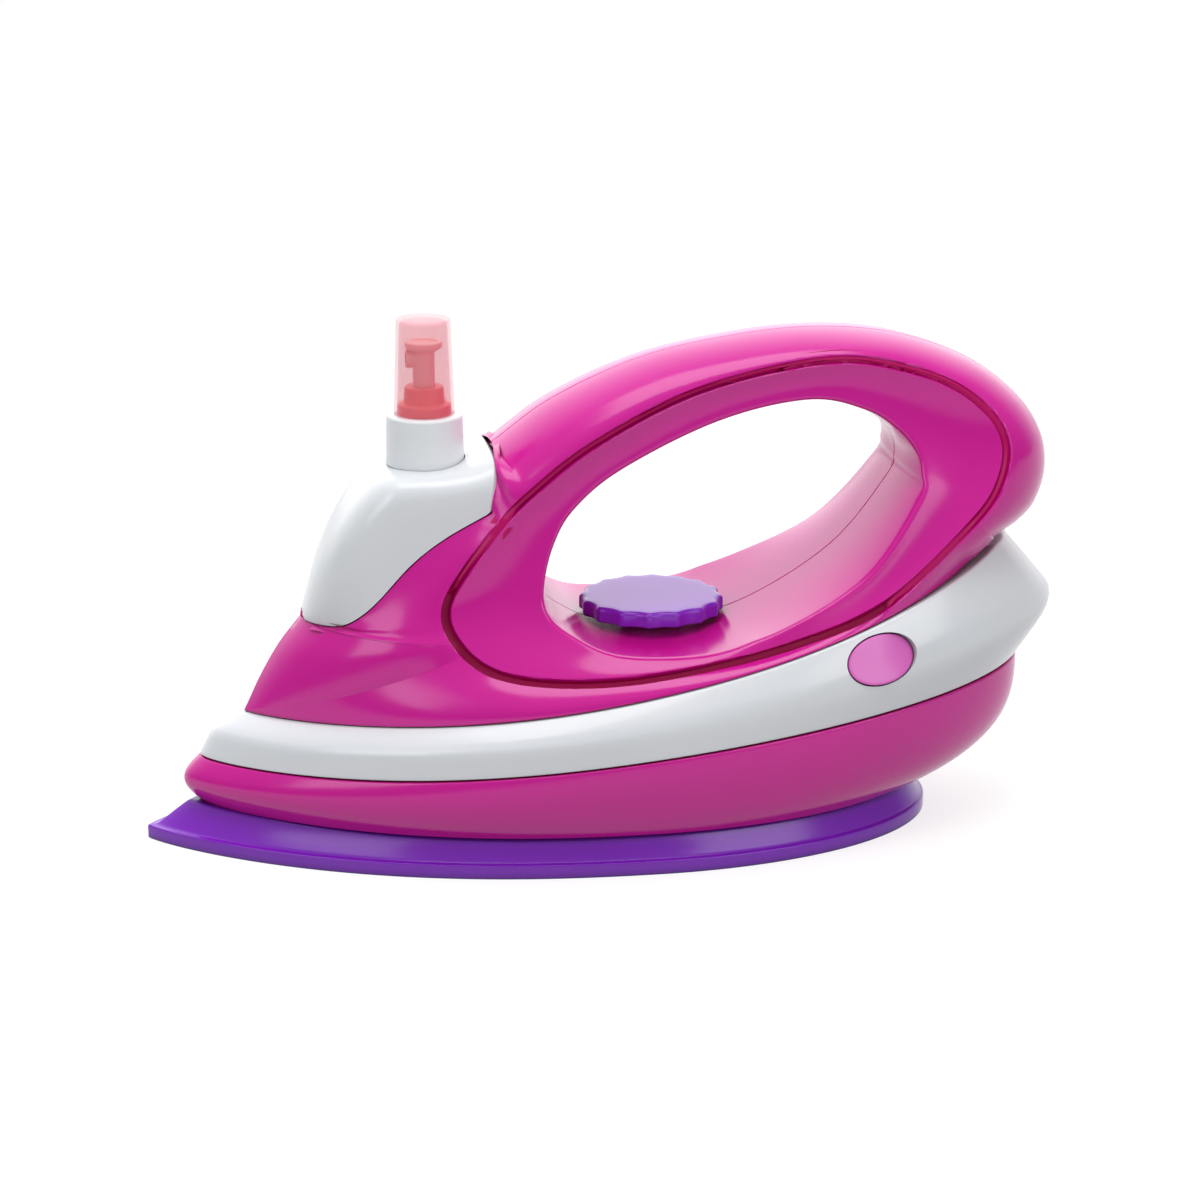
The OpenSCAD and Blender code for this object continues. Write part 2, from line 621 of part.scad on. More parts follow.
// One cross-section with its groove, out along the skin and back along the inside
inner_picks = [across - 1, across - 2, across - 3, across - 4,
    band_cuts + 2, band_cuts, band_cuts - 2, 1, 0];
function groove_cut(i) = let (p = skin[i][band_cuts], n = inward(i, band_cuts),
    d = unit(skin[i][band_cuts + 1] - p), b = unit(p - skin[i][band_cuts - 1]))
    [p - b * groove_width / 2, p + n * groove_depth, p + d * groove_width / 2];
shell_sections = [for (i = [0 : around - 1]) concat(
    [for (k = [0 : band_cuts - 1]) skin[i][k]], groove_cut(i),
    [for (k = [band_cuts + 1 : across - 1]) skin[i][k]], [for (k = inner_picks) inner(i, k)])];

module half_shell() {
    count = len(shell_sections[0]);
    polyhedron(points = [for (s = shell_sections) each s], convexity = 16,
        faces = [for (i = [0 : around - 1], k = [0 : count - 1])
            let (a = i * count, b = ((i + 1) % around) * count, n = (k + 1) % count)
            each [[a + k, a + n, b + n], [a + k, b + n, b + k]]]);
}

// Screw bosses of the body: each stands behind one point of the skin
boss_seats = [[2, 5], [20, 6], [34, 5], [61, 6]];
head_seat = 6;
shell_screw_reach = 9;

module at_bosses() for (seat = boss_seats) let (p = skin[seat[0]][seat[1]])
    translate([p.x, 0, p.z]) rotate([90, 0, 0]) let ($reach = -p.y) children();

// Saddle and dial
dial_station_share = 0.5495;
dial_station = overall_length * dial_station_share;
saddle_share = 0.211;
saddle_z = side([0, saddle_share])[1];
bush_diameter = 10;
bush_flange = 14;
bush_depth = 6;
dial_z = saddle_z + dial_lift;
module at_dial(z) translate([dial_station, 0, z]) children();

// Closes the front end of the hollow grip above the tank
bulkhead_steps = 8;
module bulkhead() translate([step_top[0] + shell_wall / 2, 0, 0]) rotate([90, 0, 90])
    linear_extrude(shell_wall) polygon(concat([[0, step_foot[1] - shell_wall]],
        [for (j = [0 : bulkhead_steps]) let (a = 90 * j / bulkhead_steps)
            [-(step_half - shell_wall / 2) * cos(a),
                lerp(step_foot[1], step_top[1] - shell_wall / 2, sin(a))]]));

module left_shell() color("#c8288c") from_tip() difference() {
    union() {
        half_shell();
        bulkhead();
        at_bosses() cylinder(d = boss_diameter, h = $reach - shell_wall);
    }
    at_bosses() translate([0, 0, -cut]) cylinder(d = screw_diameter, h = shell_screw_reach + 2 * cut);
    at_dial(saddle_z - bush_depth) cylinder(d = bush_diameter, h = 2 * bush_depth);
}

module right_shell() color("#c8288c") from_tip() mirror([0, 1, 0]) difference() {
    union() {
        half_shell();
        bulkhead();
        at_bosses() cylinder(d = boss_diameter, h = $reach - shell_wall);
    }
    at_bosses() {
        translate([0, 0, -cut]) cylinder(d = screw_diameter + 2 * loose_gap, h = head_seat + 2 * cut);
        translate([0, 0, head_seat]) cylinder(d = head_diameter + 2 * loose_gap, h = $reach);
    }
    at_dial(saddle_z - bush_depth) cylinder(d = bush_diameter, h = 2 * bush_depth);
}

// Water tank: arches from the near edge over the ridge to the far edge
tank_ridge_shares = [[0.170, 0.260], [0.178, 0.330], [0.190, 0.423], [0.207, 0.513], [0.228, 0.590],
    [0.252, 0.648], [0.280, 0.680], [0.320, 0.690], [0.352, 0.690], [0.366, 0.672]];
tank_ridge = side_curve(tank_ridge_shares);
tank_start_share = 0.05;
tip_half_share = 0.1;
arch_power_front = 2.1;
arch_power_back = 3.2;
neck_share = 0.3062;
neck_station = overall_length * neck_share;
spot_share = 0.668;
spot_z = side([0, spot_share])[1];

function arch(t, inset) = let (
    e0 = open_curve(diagonal_line, 1 - t),
    r0 = open_curve(tank_ridge, t),
    d = unit(r0 - e0),
    e = e0 + d * (seam_gap + inset),
    r = r0 - d * inset,
    half = max(tip_half_share * step_half, tank_edge_half(1 - t) - inset),
    power = 2 / lerp(arch_power_front, arch_power_back, t))
    [for (j = [0 : arch_steps]) let (a = 180 * j / arch_steps,
        out = sign(cos(a)) * pow(abs(cos(a)), power), p = lerp(e, r, pow(sin(a), power)))
        [p[0], -half * out, p[1]]];

module arch_loft(first, last, inset) {
    arches = [for (i = [0 : tank_steps]) arch(lerp(first, last, i / tank_steps), inset)];
    count = arch_steps + 1;
    polyhedron(points = [for (a = arches) each a], convexity = 8, faces = concat(
        [for (k = [0 : tank_steps - 1], i = [0 : arch_steps])
            each [for (f = patch(k * count, (k + 1) * count, i, (i + 1) % count)) [f[2], f[1], f[0]]]],
        [for (i = [1 : arch_steps - 1]) [i + 1, i, 0]],
        [for (i = [1 : arch_steps - 1]) [0, i, i + 1] + tank_steps * count * [1, 1, 1]]));
}
cavity_first_share = 0.3;
cavity_last_share = 0.93;

module at_neck(z) translate([neck_station, 0, z]) children();

module water_tank() color("#e6ebf0") from_tip() difference() {
    union() {
        difference() {
            arch_loft(tank_start_share, 1, 0);
            arch_loft(cavity_first_share, cavity_last_share, tank_wall);
            at_neck(spot_z) cylinder(d = collar_diameter + 2 * loose_gap, h = collar_height);
        }
        at_neck(spot_z - tank_wall) cylinder(d = collar_diameter, h = tank_wall);
        at_neck(spot_z - tank_wall) cylinder(d = neck_diameter, h = tank_wall + neck_height);
    }
    at_neck(spot_z - 2 * tank_wall - cut)
        cylinder(d = neck_bore, h = 2 * tank_wall + neck_height + 2 * cut);
}

// Sprayer, from the collar's foot up
gasket_thickness = 0.8;
flange_thickness = 1;
flange_diameter = neck_diameter;
stem_diameter = 3;
stem_bore = 1.2;
collar_top = spot_z + collar_height;
gasket_z = spot_z + neck_height;
flange_z = gasket_z + gasket_thickness;
collar_hole = 9;
barrel_z = flange_z - barrel_length;
barrel_wall = 1;
barrel_floor = 1.2;
inlet_length = 3;
inlet_diameter = dip_diameter;
ball_diameter = 1.8;
piston_length = 3;
ring_flange_height = 2.4;
ring_height = 6.6;
ring_wall = 2.2;
pad_top = collar_top + pad_height;
stalk_foot = collar_top + ring_flange_height;
nozzle_diameter = 2.6;
nozzle_reach = 4.2;
nozzle_drop = 2.3;
cap_gap = 0.1;
cap_floor = collar_top;
barrel_bore = barrel_diameter - 2 * barrel_wall;
piston_z = flange_z + flange_thickness - piston_length - running_gap;
spring_wire = 0.6;
spring_turns = 5;
stem_top = stalk_foot + spray_travel + piston_length;
nozzle_z = pad_top - pad_thickness - nozzle_drop;

module tube(outer, bore, height) difference() {
    cylinder(d = outer, h = height);
    translate([0, 0, -cut]) cylinder(d = bore, h = height + 2 * cut);
}

module spray_collar() color("#e6ebf0") from_tip() at_neck(spot_z) difference() {
    cylinder(d = collar_diameter, h = collar_height);
    translate([0, 0, -cut]) cylinder(d = neck_diameter + 2 * loose_gap,
        h = cut + neck_height + gasket_thickness + flange_thickness);
    cylinder(d = collar_hole, h = collar_height + cut);
}

module neck_gasket() color("#f4f4f0") from_tip() at_neck(gasket_z)
    tube(flange_diameter, barrel_diameter + 2 * loose_gap, gasket_thickness);

module pump_barrel() color("#f0f0ee") from_tip() at_neck(barrel_z) difference() {
    union() {
        cylinder(d = barrel_diameter, h = barrel_length);
        translate([0, 0, barrel_length]) cylinder(d = flange_diameter, h = flange_thickness);
        translate([0, 0, -inlet_length])
            cylinder(d = inlet_diameter + 2 * barrel_wall, h = inlet_length + cut);
    }
    translate([0, 0, barrel_floor]) cylinder(d = barrel_bore, h = barrel_length + flange_thickness);
    translate([0, 0, -inlet_length - cut]) cylinder(d = inlet_diameter, h = inlet_length + cut);
    translate([0, 0, -cut]) cylinder(d = stem_bore, h = barrel_floor + 2 * cut);
}

module pump_spring() color("#c8ccd0") from_tip() at_neck(barrel_z + barrel_floor)
    coil(barrel_bore / 2 - spring_wire, spring_wire / 2, piston_z - barrel_z - barrel_floor, spring_turns);

module pump_piston() color("#f0f0ee") from_tip() at_neck(piston_z) difference() {
    union() {
        cylinder(d = barrel_bore - 2 * running_gap, h = piston_length);
        cylinder(d = stem_diameter, h = stem_top - piston_z);
    }
    translate([0, 0, -cut]) cylinder(d = stem_bore, h = pad_top - piston_z);
}

module inlet_ball() color("#b8bcc0") from_tip()
    at_neck(barrel_z + barrel_floor + ball_diameter / 2) sphere(d = ball_diameter);

module dip_tube() color("#f0f0ee") from_tip() at_neck(barrel_z - dip_length)
    tube(dip_diameter - 2 * running_gap, stem_bore, dip_length);

module snap_ring() color("#e0655f") from_tip() at_neck(collar_top) difference() {
    union() {
        cylinder(d = cap_diameter - 2 * (cap_wall + cap_gap), h = ring_flange_height);
        cylinder(d = stalk_diameter + 2 * (running_gap + ring_wall), h = ring_height);
        translate([0, 0, flange_z + flange_thickness - collar_top])
            cylinder(d = collar_hole - 2 * running_gap, h = ring_flange_height);
    }
    translate([0, 0, -collar_height]) cylinder(d = stem_diameter + 2 * running_gap, h = 2 * collar_height);
    cylinder(d = stalk_diameter + 2 * running_gap, h = ring_height + cut);
}

module spray_head() color("#e8837d") from_tip() at_neck(0) difference() {
    union() {
        translate([0, 0, stalk_foot + spray_travel])
            cylinder(d = stalk_diameter, h = pad_top - stalk_foot - spray_travel);
        translate([0, 0, pad_top - pad_thickness]) cylinder(d = pad_diameter, h = pad_thickness);
        translate([0, 0, nozzle_z]) rotate([0, -90, 0])
            cylinder(d = nozzle_diameter + 2 * cap_wall, h = nozzle_reach);
    }
    translate([0, 0, stalk_foot]) cylinder(d = stem_diameter, h = stem_top - stalk_foot);
    translate([0, 0, stalk_foot]) cylinder(d = stem_bore, h = nozzle_z - stalk_foot);
    translate([-nozzle_reach / 2, 0, nozzle_z]) rotate([0, -90, 0])
        cylinder(d = nozzle_diameter, h = nozzle_reach);
}

module nozzle_insert() color("#f6dedb") from_tip() at_neck(nozzle_z) rotate([0, -90, 0])
    translate([0, 0, nozzle_reach / 2]) tube(nozzle_diameter, stem_bore / 2, nozzle_reach / 2);

module overcap() color("#f0a8a4", 0.5) from_tip() at_neck(cap_floor) rotate_extrude() polygon([
    [cap_diameter / 2 - cap_wall, 0], [cap_diameter / 2, 0], [cap_top_diameter / 2, cap_height - cap_wall],
    [cap_top_diameter / 2 - cap_wall / 2, cap_height], [0, cap_height], [0, cap_height - cap_wall],
    [cap_top_diameter / 2 - cap_wall, cap_height - cap_wall]]);

// Dial: hollow flutes meet in pointed ridges, with a bevel round the top
flute_chord = PI * dial_diameter / flute_count;
flute_radius = (flute_chord * flute_chord / 4 + flute_depth * flute_depth) / (2 * flute_depth);
flute_centre = dial_diameter / 2 - flute_depth + flute_radius;
bevel = 0.7;
bush_lip = 1.4;
washer_thickness = 0.8;
dial_screw_length = 8;
dial_gap = 0.2;

module flutes(height) for (i = [0 : flute_count - 1]) rotate(360 * i / flute_count)
    translate([flute_centre, 0, -cut]) cylinder(r = flute_radius, h = height + 2 * cut);

module dial() color("#8d4cc8") from_tip() at_dial(dial_z) difference() {
    union() {
        difference() {
            union() {
                cylinder(d = dial_diameter, h = dial_thickness - bevel);
                translate([0, 0, dial_thickness - bevel])
                    cylinder(d1 = dial_diameter, d2 = dial_diameter - 2 * bevel, h = bevel);
            }
            flutes(dial_thickness);
        }
        translate([0, 0, -dial_lift - bush_depth])
            cylinder(d = spindle_diameter, h = dial_lift + bush_depth + bevel);
    }
    translate([0, 0, -dial_lift - bush_depth - cut])
        cylinder(d = screw_diameter, h = dial_screw_length + cut);
}

module dial_bush() color("#f0f0ee") from_tip() at_dial(saddle_z - bush_depth + dial_gap) difference() {
    union() {
        cylinder(d = bush_diameter, h = bush_depth - dial_gap + bush_lip);
        translate([0, 0, bush_depth - dial_gap + dial_gap / 2])
            cylinder(d = bush_flange, h = bush_lip - dial_gap / 2);
    }
    translate([0, 0, -cut]) cylinder(d = spindle_diameter + 2 * running_gap, h = 2 * bush_depth);
}

module dial_washer() color("#b8bcc0") from_tip() at_dial(saddle_z - bush_depth - washer_thickness)
    tube(bush_diameter, screw_diameter + 2 * loose_gap, washer_thickness);

module dial_screw() color("#b8bcc0") from_tip()
    at_dial(saddle_z - bush_depth - washer_thickness - head_thickness) screw(dial_screw_length);

// Button and the electronics behind it
button_crown = 60;
crown_sides = 360;
button_flange = 1;
flange_thick = 1;
flange_drop = 4.6;
stem_clear = 0.3;
switch_side = 6;
switch_height = 3.5;
plunger_diameter = 3.4;
plunger_height = 1;
board_thickness = 1.2;
plunger_top = switch_height + plunger_height - board_depth;
button_stem = 4;
button_wire = 0.5;
button_turns = 4;
board_screw_diameter = 2;
board_screw_head = 3.8;
board_screw_length = 4;

module oval_button() color("#e07fc0") from_tip() at_button() {
    intersection() {
        translate([0, 0, -flange_drop]) oval(button_length, button_width, 2 * flange_drop);
        translate([0, button_width, -button_crown]) rotate([90, 0, 0])
            cylinder(r = button_crown, h = 2 * button_width, $fn = crown_sides);
    }
    translate([0, 0, -flange_drop - flange_thick])
        oval(button_length + 2 * (button_gap + button_flange),
            button_width + 2 * (button_gap + button_flange), flange_thick);
    translate([0, 0, plunger_top + button_travel + stem_clear])
        cylinder(d = button_stem, h = -flange_drop - plunger_top - button_travel - stem_clear);
}

module button_spring() color("#c8ccd0") from_tip() at_button() translate([0, 0, -board_depth])
    coil((switch_side * sqrt(2) + button_wire) / 2 + stem_clear, button_wire / 2,
        board_depth - flange_drop - flange_thick, button_turns);

module circuit_board() color("#2f7a4a") from_tip() at_button()
    translate([0, 0, -board_depth - board_thickness]) difference() {
        translate([-board_length / 2, -board_width / 2, 0]) cube([board_length, board_width, board_thickness]);
        for (side = [-1, 1]) translate([side * board_length * post_share, 0, -cut])
            cylinder(d = board_screw_diameter + 2 * running_gap, h = board_thickness + 2 * cut);
    }

module press_switch() color("#303034") from_tip() at_button() translate([0, 0, -board_depth]) {
    translate([-switch_side / 2, -switch_side / 2, 0]) cube([switch_side, switch_side, switch_height]);
    cylinder(d = plunger_diameter, h = switch_height + plunger_height);
}

module board_screws() color("#b8bcc0") from_tip() at_button() for (side = [-1, 1])
    translate([side * board_length * post_share, 0, -board_depth - board_thickness - head_thickness])
        screw(board_screw_length, board_screw_diameter, board_screw_head);

magnet_share = 0.5;
magnet_height_share = 0.55;

module loudspeaker() color("#303034") from_tip() translate([speaker_station, 0, skirt_floor]) {
    cylinder(d = speaker_diameter, h = speaker_height * (1 - magnet_height_share));
    cylinder(d = speaker_diameter * magnet_share, h = speaker_height);
}

// Battery bay: an upside-down box that stands on the sole round the door's opening
door_screw_reach = 5;
module battery_box() color("#3a3a40") from_tip() difference() {
    union() {
        block(bay_length + 2 * bay_wall, bay_width + 2 * bay_wall, sole_wall, bay_top + bay_wall);
        block(bay_length + 2 * (bay_wall + bay_shoulder), bay_width + 2 * (bay_wall + bay_shoulder),
            sole_wall, plate_top);
        translate([cup_station, 0, cup_height]) cylinder(d = boss_diameter, h = plate_top - cup_height);
    }
    block(bay_length, bay_width, sole_wall - cut, bay_top);
    translate([cup_station, 0, sole_wall - cut])
        cylinder(d = cup_diameter + 2 * loose_gap, h = cut + cup_height - sole_wall);
    translate([cup_station, 0, cup_height - cut]) cylinder(d = screw_diameter, h = door_screw_reach + cut);
}

cell_nub = 5.5;
cell_nub_height = 1;
module at_cells(x) for (side = [-1, 1])
    translate([bay_station + side * x, side * (cell_diameter + cell_gap) / 2, cell_z])
        rotate([0, side * 90, 0]) children();

module cells() color("#4a6fb5") from_tip()
    at_cells(bay_length / 2 - plate_thickness - cell_length) {
        cylinder(d = cell_diameter, h = cell_length - cell_nub_height);
        cylinder(d = cell_nub, h = cell_length);
    }

module contact_plates() color("#c8ccd0") from_tip() for (end = [-1, 1])
    translate([bay_station + end * (bay_length - plate_thickness) / 2, 0, cell_z])
        cube([plate_thickness, bay_width - cell_gap, cell_diameter - cell_gap], center = true);

contact_wire = 0.7;
contact_coil = 7;
contact_turns = 2;
module contact_springs() color("#c8ccd0") from_tip()
    at_cells(plate_thickness - bay_length / 2)
        coil((contact_coil - contact_wire) / 2, contact_wire / 2, spring_room, contact_turns);

// Battery door: set flush in the sole, with ribs under the cells and a cup for its screw
module battery_door() color("#7a2bb0") from_tip() difference() {
    union() {
        block(bay_length + 2 * (door_ledge - loose_gap), bay_width + 2 * (door_ledge - loose_gap),
            0, door_thickness);
        translate([cup_station, -cup_diameter / 2, 0]) cube([cup_reach, cup_diameter, door_thickness]);
        translate([cup_station, 0, 0]) cylinder(d = cup_diameter, h = cup_height);
        for (side = [-1, 1]) translate([0, side * (cell_diameter + cell_gap) / 2, 0])
            block(bay_length - 2 * door_inset, door_rib_width, 0, sole_wall);
    }
    translate([cup_station, 0, -cut]) cylinder(d = head_diameter + 2 * loose_gap, h = cut + cup_depth);
    translate([cup_station, 0, -cut]) cylinder(d = screw_diameter + 2 * loose_gap, h = cup_height + 2 * cut);
}

module door_screw() color("#b8bcc0") from_tip() translate([cup_station, 0, cup_depth - head_thickness])
    screw(cup_wall + door_screw_reach);

// Screws that hold the two shells, and the sole, skirt and band, together
module shell_screws() color("#b8bcc0") from_tip() mirror([0, 1, 0]) at_bosses()
    translate([0, 0, head_seat + head_thickness]) rotate([180, 0, 0]) screw(head_seat + shell_screw_reach);

module base_screws() color("#b8bcc0") from_tip() at_base_screws()
    translate([0, 0, plate_top - sole_wall - head_thickness])
        screw(sole_wall + skirt_wall + base_screw_reach);

soleplate();
base_skirt();
white_band();
left_shell();
right_shell();
water_tank();
spray_collar();
neck_gasket();
pump_barrel();
pump_spring();
pump_piston();
inlet_ball();
dip_tube();
snap_ring();
spray_head();
nozzle_insert();
overcap();
dial();
dial_bush();
dial_washer();
dial_screw();
oval_button();
button_spring();
circuit_board();
press_switch();
board_screws();
loudspeaker();
battery_box();
cells();
contact_plates();
contact_springs();
battery_door();
door_screw();
shell_screws();
base_screws();
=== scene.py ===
import math

import bmesh
import bpy
import numpy as np
from mathutils import Matrix, Vector


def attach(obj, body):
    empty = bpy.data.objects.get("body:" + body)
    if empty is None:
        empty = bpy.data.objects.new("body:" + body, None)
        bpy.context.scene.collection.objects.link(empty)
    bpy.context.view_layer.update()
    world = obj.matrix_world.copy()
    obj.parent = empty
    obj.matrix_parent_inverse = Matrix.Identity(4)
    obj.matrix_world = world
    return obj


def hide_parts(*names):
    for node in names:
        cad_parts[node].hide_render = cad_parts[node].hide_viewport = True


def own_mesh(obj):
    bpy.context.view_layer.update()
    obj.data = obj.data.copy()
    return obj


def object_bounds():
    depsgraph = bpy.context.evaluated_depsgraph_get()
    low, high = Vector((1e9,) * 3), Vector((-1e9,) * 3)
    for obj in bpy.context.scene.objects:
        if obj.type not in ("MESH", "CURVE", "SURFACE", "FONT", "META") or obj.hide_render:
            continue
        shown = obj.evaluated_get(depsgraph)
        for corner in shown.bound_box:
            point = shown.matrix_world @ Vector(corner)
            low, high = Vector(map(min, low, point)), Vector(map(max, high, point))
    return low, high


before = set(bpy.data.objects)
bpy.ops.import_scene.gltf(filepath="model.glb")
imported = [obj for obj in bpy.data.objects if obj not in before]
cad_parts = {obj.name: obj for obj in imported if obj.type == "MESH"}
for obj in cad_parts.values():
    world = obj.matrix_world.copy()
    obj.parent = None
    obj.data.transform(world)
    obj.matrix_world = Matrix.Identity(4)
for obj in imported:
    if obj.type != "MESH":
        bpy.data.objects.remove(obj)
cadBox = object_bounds()
mm = 0.001

# Shapes are worked out in millimetres, with stations counted from the sole's tip towards the heel
tipX = cadBox[0].x / mm
overall = (cadBox[1].x - cadBox[0].x) / mm


def lerp(a, b, t):
    return a + (b - a) * t


def unit(v):
    return v / np.maximum(np.linalg.norm(v, axis=-1, keepdims=True), 1e-9)


def smooth(t):
    t = np.clip(t, 0, 1)
    return t * t * (3 - 2 * t)


# Finishes


def toLinear(hexColour):
    parts = [int(hexColour[i:i + 2], 16) / 255 for i in (1, 3, 5)]
    return [c / 12.92 if c <= 0.04045 else ((c + 0.055) / 1.055) ** 2.4 for c in parts] + [1]


def addNode(tree, kind, settings=None, links=None):
    node = tree.nodes.new(kind)
    for key, value in (settings or {}).items():
        if isinstance(key, str) and hasattr(node, key):
            setattr(node, key, value)
        else:
            node.inputs[key].default_value = value
    for key, source in (links or {}).items():
        tree.links.new(source, node.inputs[key])
    return node


def newFinish(name):
    finish = bpy.data.materials.new(name)
    finish.use_nodes = True
    tree = finish.node_tree
    shader = tree.nodes["Principled BSDF"]
    return finish, tree, shader


def perMetre(size):
    return 1 / (size * mm)  # a pattern of this many millimetres, as a texture scale


# Gloss-moulded ABS: deep even colour under a polished skin, faintly rippled like orange peel,
# a soft bloom where the skin is duller, and painted shade: a darker colour mixed into narrow creases
glossAbs = dict(ripple=6, rippleDepth=0.006, rippleStrength=0.6, bloom=30, dull=(0.12, 0.24), ior=1.52,
                specular=0.45, crease=2.6, creaseShadeSpan=(0.3, 0.85), creaseShadeRays=8)


def mouldedAbs(name, colour, shade, deep, settings=glossAbs):
    finish, tree, shader = newFinish(name)
    place = addNode(tree, "ShaderNodeTexCoord")
    cloud = addNode(tree, "ShaderNodeTexNoise", {"Scale": perMetre(settings["bloom"]), "Detail": 1},
                    {"Vector": place.outputs["Object"]})
    ripple = addNode(tree, "ShaderNodeTexNoise", {"Scale": perMetre(settings["ripple"]), "Detail": 1},
                     {"Vector": place.outputs["Object"]})
    dull = addNode(tree, "ShaderNodeMapRange",
                   {"To Min": settings["dull"][0], "To Max": settings["dull"][1]},
                   {"Value": cloud.outputs["Fac"]})
    tint = addNode(tree, "ShaderNodeMix", {"data_type": "RGBA", 6: toLinear(shade), 7: toLinear(colour)},
                   {0: cloud.outputs["Fac"]})
    bump = addNode(tree, "ShaderNodeBump",
                   {"Strength": settings["rippleStrength"], "Distance": settings["rippleDepth"] * mm},
                   {"Height": ripple.outputs["Fac"]})
    # painted shade: ambient occlusion finds creases and recesses, and there the colour is mixed towards deep,
    # the painted shade colour
    creaseShadeProbe = addNode(tree, "ShaderNodeAmbientOcclusion",
                       {"samples": settings["creaseShadeRays"], "Distance": settings["crease"] * mm})
    depth = addNode(tree, "ShaderNodeMapRange",
                    {"From Min": settings["creaseShadeSpan"][0], "From Max": settings["creaseShadeSpan"][1]},
                    {"Value": creaseShadeProbe.outputs["AO"]})
    both = addNode(tree, "ShaderNodeMix", {"data_type": "RGBA", 6: toLinear(deep)},
                   {0: depth.outputs["Result"], 7: tint.outputs[2]})
    tree.links.new(both.outputs[2], shader.inputs["Base Color"])
    tree.links.new(dull.outputs["Result"], shader.inputs["Roughness"])
    tree.links.new(bump.outputs["Normal"], shader.inputs["Normal"])
    shader.inputs["IOR"].default_value = settings["ior"]
    shader.inputs["Specular IOR Level"].default_value = settings["specular"]
    return finish


# the third colour of each finish is the painted shade colour for its creases
magentaAbs = mouldedAbs("magenta_abs_gloss_moulded", "#d6149a", "#cc1092", "#8c0044")
# painted shade: a darker, duller copy of the magenta for the inside of the handle's groove
grooveShadeAbs = mouldedAbs("magenta_abs_groove_painted_shade", "#c20468", "#b80462", "#98003e",
                       dict(glossAbs, dull=(0.3, 0.4), specular=0.2))
purpleAbs = mouldedAbs("purple_abs_gloss_moulded", "#8420c4", "#7a1cb8", "#3c0c6c")
dialAbs = mouldedAbs("violet_abs_gloss_moulded", "#8828c8", "#8024be", "#400e74")
whiteAbs = mouldedAbs("white_abs_gloss_moulded", "#e2e5e9", "#dce0e5", "#b4b4b8")
pinkAbs = mouldedAbs("pink_abs_gloss_moulded", "#e46ec8", "#dc66c2", "#b03c90")

# Moulded polypropylene of the sprayer: milky, takes light into itself, waxy shine
waxyPp = dict(grain=1.4, dull=(0.28, 0.38), ior=1.49, bleed=(1.2, 0.5, 0.4), cover=1)


def mouldedPp(name, colour, shade, glow, clear=0.0, settings=waxyPp):
    finish, tree, shader = newFinish(name)
    place = addNode(tree, "ShaderNodeTexCoord")
    grain = addNode(tree, "ShaderNodeTexNoise", {"Scale": perMetre(settings["grain"]), "Detail": 2},
                    {"Vector": place.outputs["Object"]})
    tint = addNode(tree, "ShaderNodeMix", {"data_type": "RGBA", 6: toLinear(shade), 7: toLinear(colour)},
                   {0: grain.outputs["Fac"]})
    dull = addNode(tree, "ShaderNodeMapRange", {"To Min": settings["dull"][0], "To Max": settings["dull"][1]},
                   {"Value": grain.outputs["Fac"]})
    tree.links.new(tint.outputs[2], shader.inputs["Base Color"])
    tree.links.new(dull.outputs["Result"], shader.inputs["Roughness"])
    shader.inputs["IOR"].default_value = settings["ior"]
    shader.inputs["Subsurface Weight"].default_value = glow
    shader.inputs["Subsurface Radius"].default_value = [b * mm for b in settings["bleed"]]
    shader.inputs["Subsurface Scale"].default_value = 1
    shader.inputs["Transmission Weight"].default_value = clear
    shader.inputs["Alpha"].default_value = settings["cover"]
    return finish


salmonPp = mouldedPp("salmon_pp_moulded", "#fa8078", "#f6746c", 0.3, 0.1)
palePp = mouldedPp("pale_pink_pp_moulded", "#ffcfca", "#fec6c0", 0.3, 0.1)
naturalPp = mouldedPp("natural_pp_moulded", "#f2f2ec", "#e9e9e2", 0.3)
whitePp = mouldedPp("white_pp_moulded", "#eceff2", "#e6eaee", 0.2)
blackPs = mouldedPp("black_ps_moulded", "#2a2a2e", "#232327", 0.0)

# Clear-tinted polypropylene of the overcap: thin walls that let most light straight through, pink, cloudy
capPp = mouldedPp("pink_clear_pp_moulded", "#fb819a", "#f97a94", 0.0, 0.0,
                  dict(waxyPp, grain=2.2, dull=(0.08, 0.16), cover=0.24))

# Zinc-plated steel: pale grey metal with a fine crystalline mottle
platedSteel = dict(mottle=0.5, dull=(0.26, 0.42))


def platedMetal(name, colour, shade, settings=platedSteel):
    finish, tree, shader = newFinish(name)
    place = addNode(tree, "ShaderNodeTexCoord")
    mottle = addNode(tree, "ShaderNodeTexVoronoi", {"Scale": perMetre(settings["mottle"])},
                     {"Vector": place.outputs["Object"]})
    dull = addNode(tree, "ShaderNodeMapRange", {"To Min": settings["dull"][0], "To Max": settings["dull"][1]},
                   {"Value": mottle.outputs["Distance"]})
    tint = addNode(tree, "ShaderNodeMix", {"data_type": "RGBA", 6: toLinear(colour), 7: toLinear(shade)},
                   {0: mottle.outputs["Distance"]})
    tree.links.new(tint.outputs[2], shader.inputs["Base Color"])
    tree.links.new(dull.outputs["Result"], shader.inputs["Roughness"])
    shader.inputs["Metallic"].default_value = 1
    return finish


zincSteel = platedMetal("steel_zinc_plated", "#c9ccd0", "#aeb2b8")
nickelSteel = platedMetal("steel_nickel_plated", "#d6d2c8", "#bdb9ae")

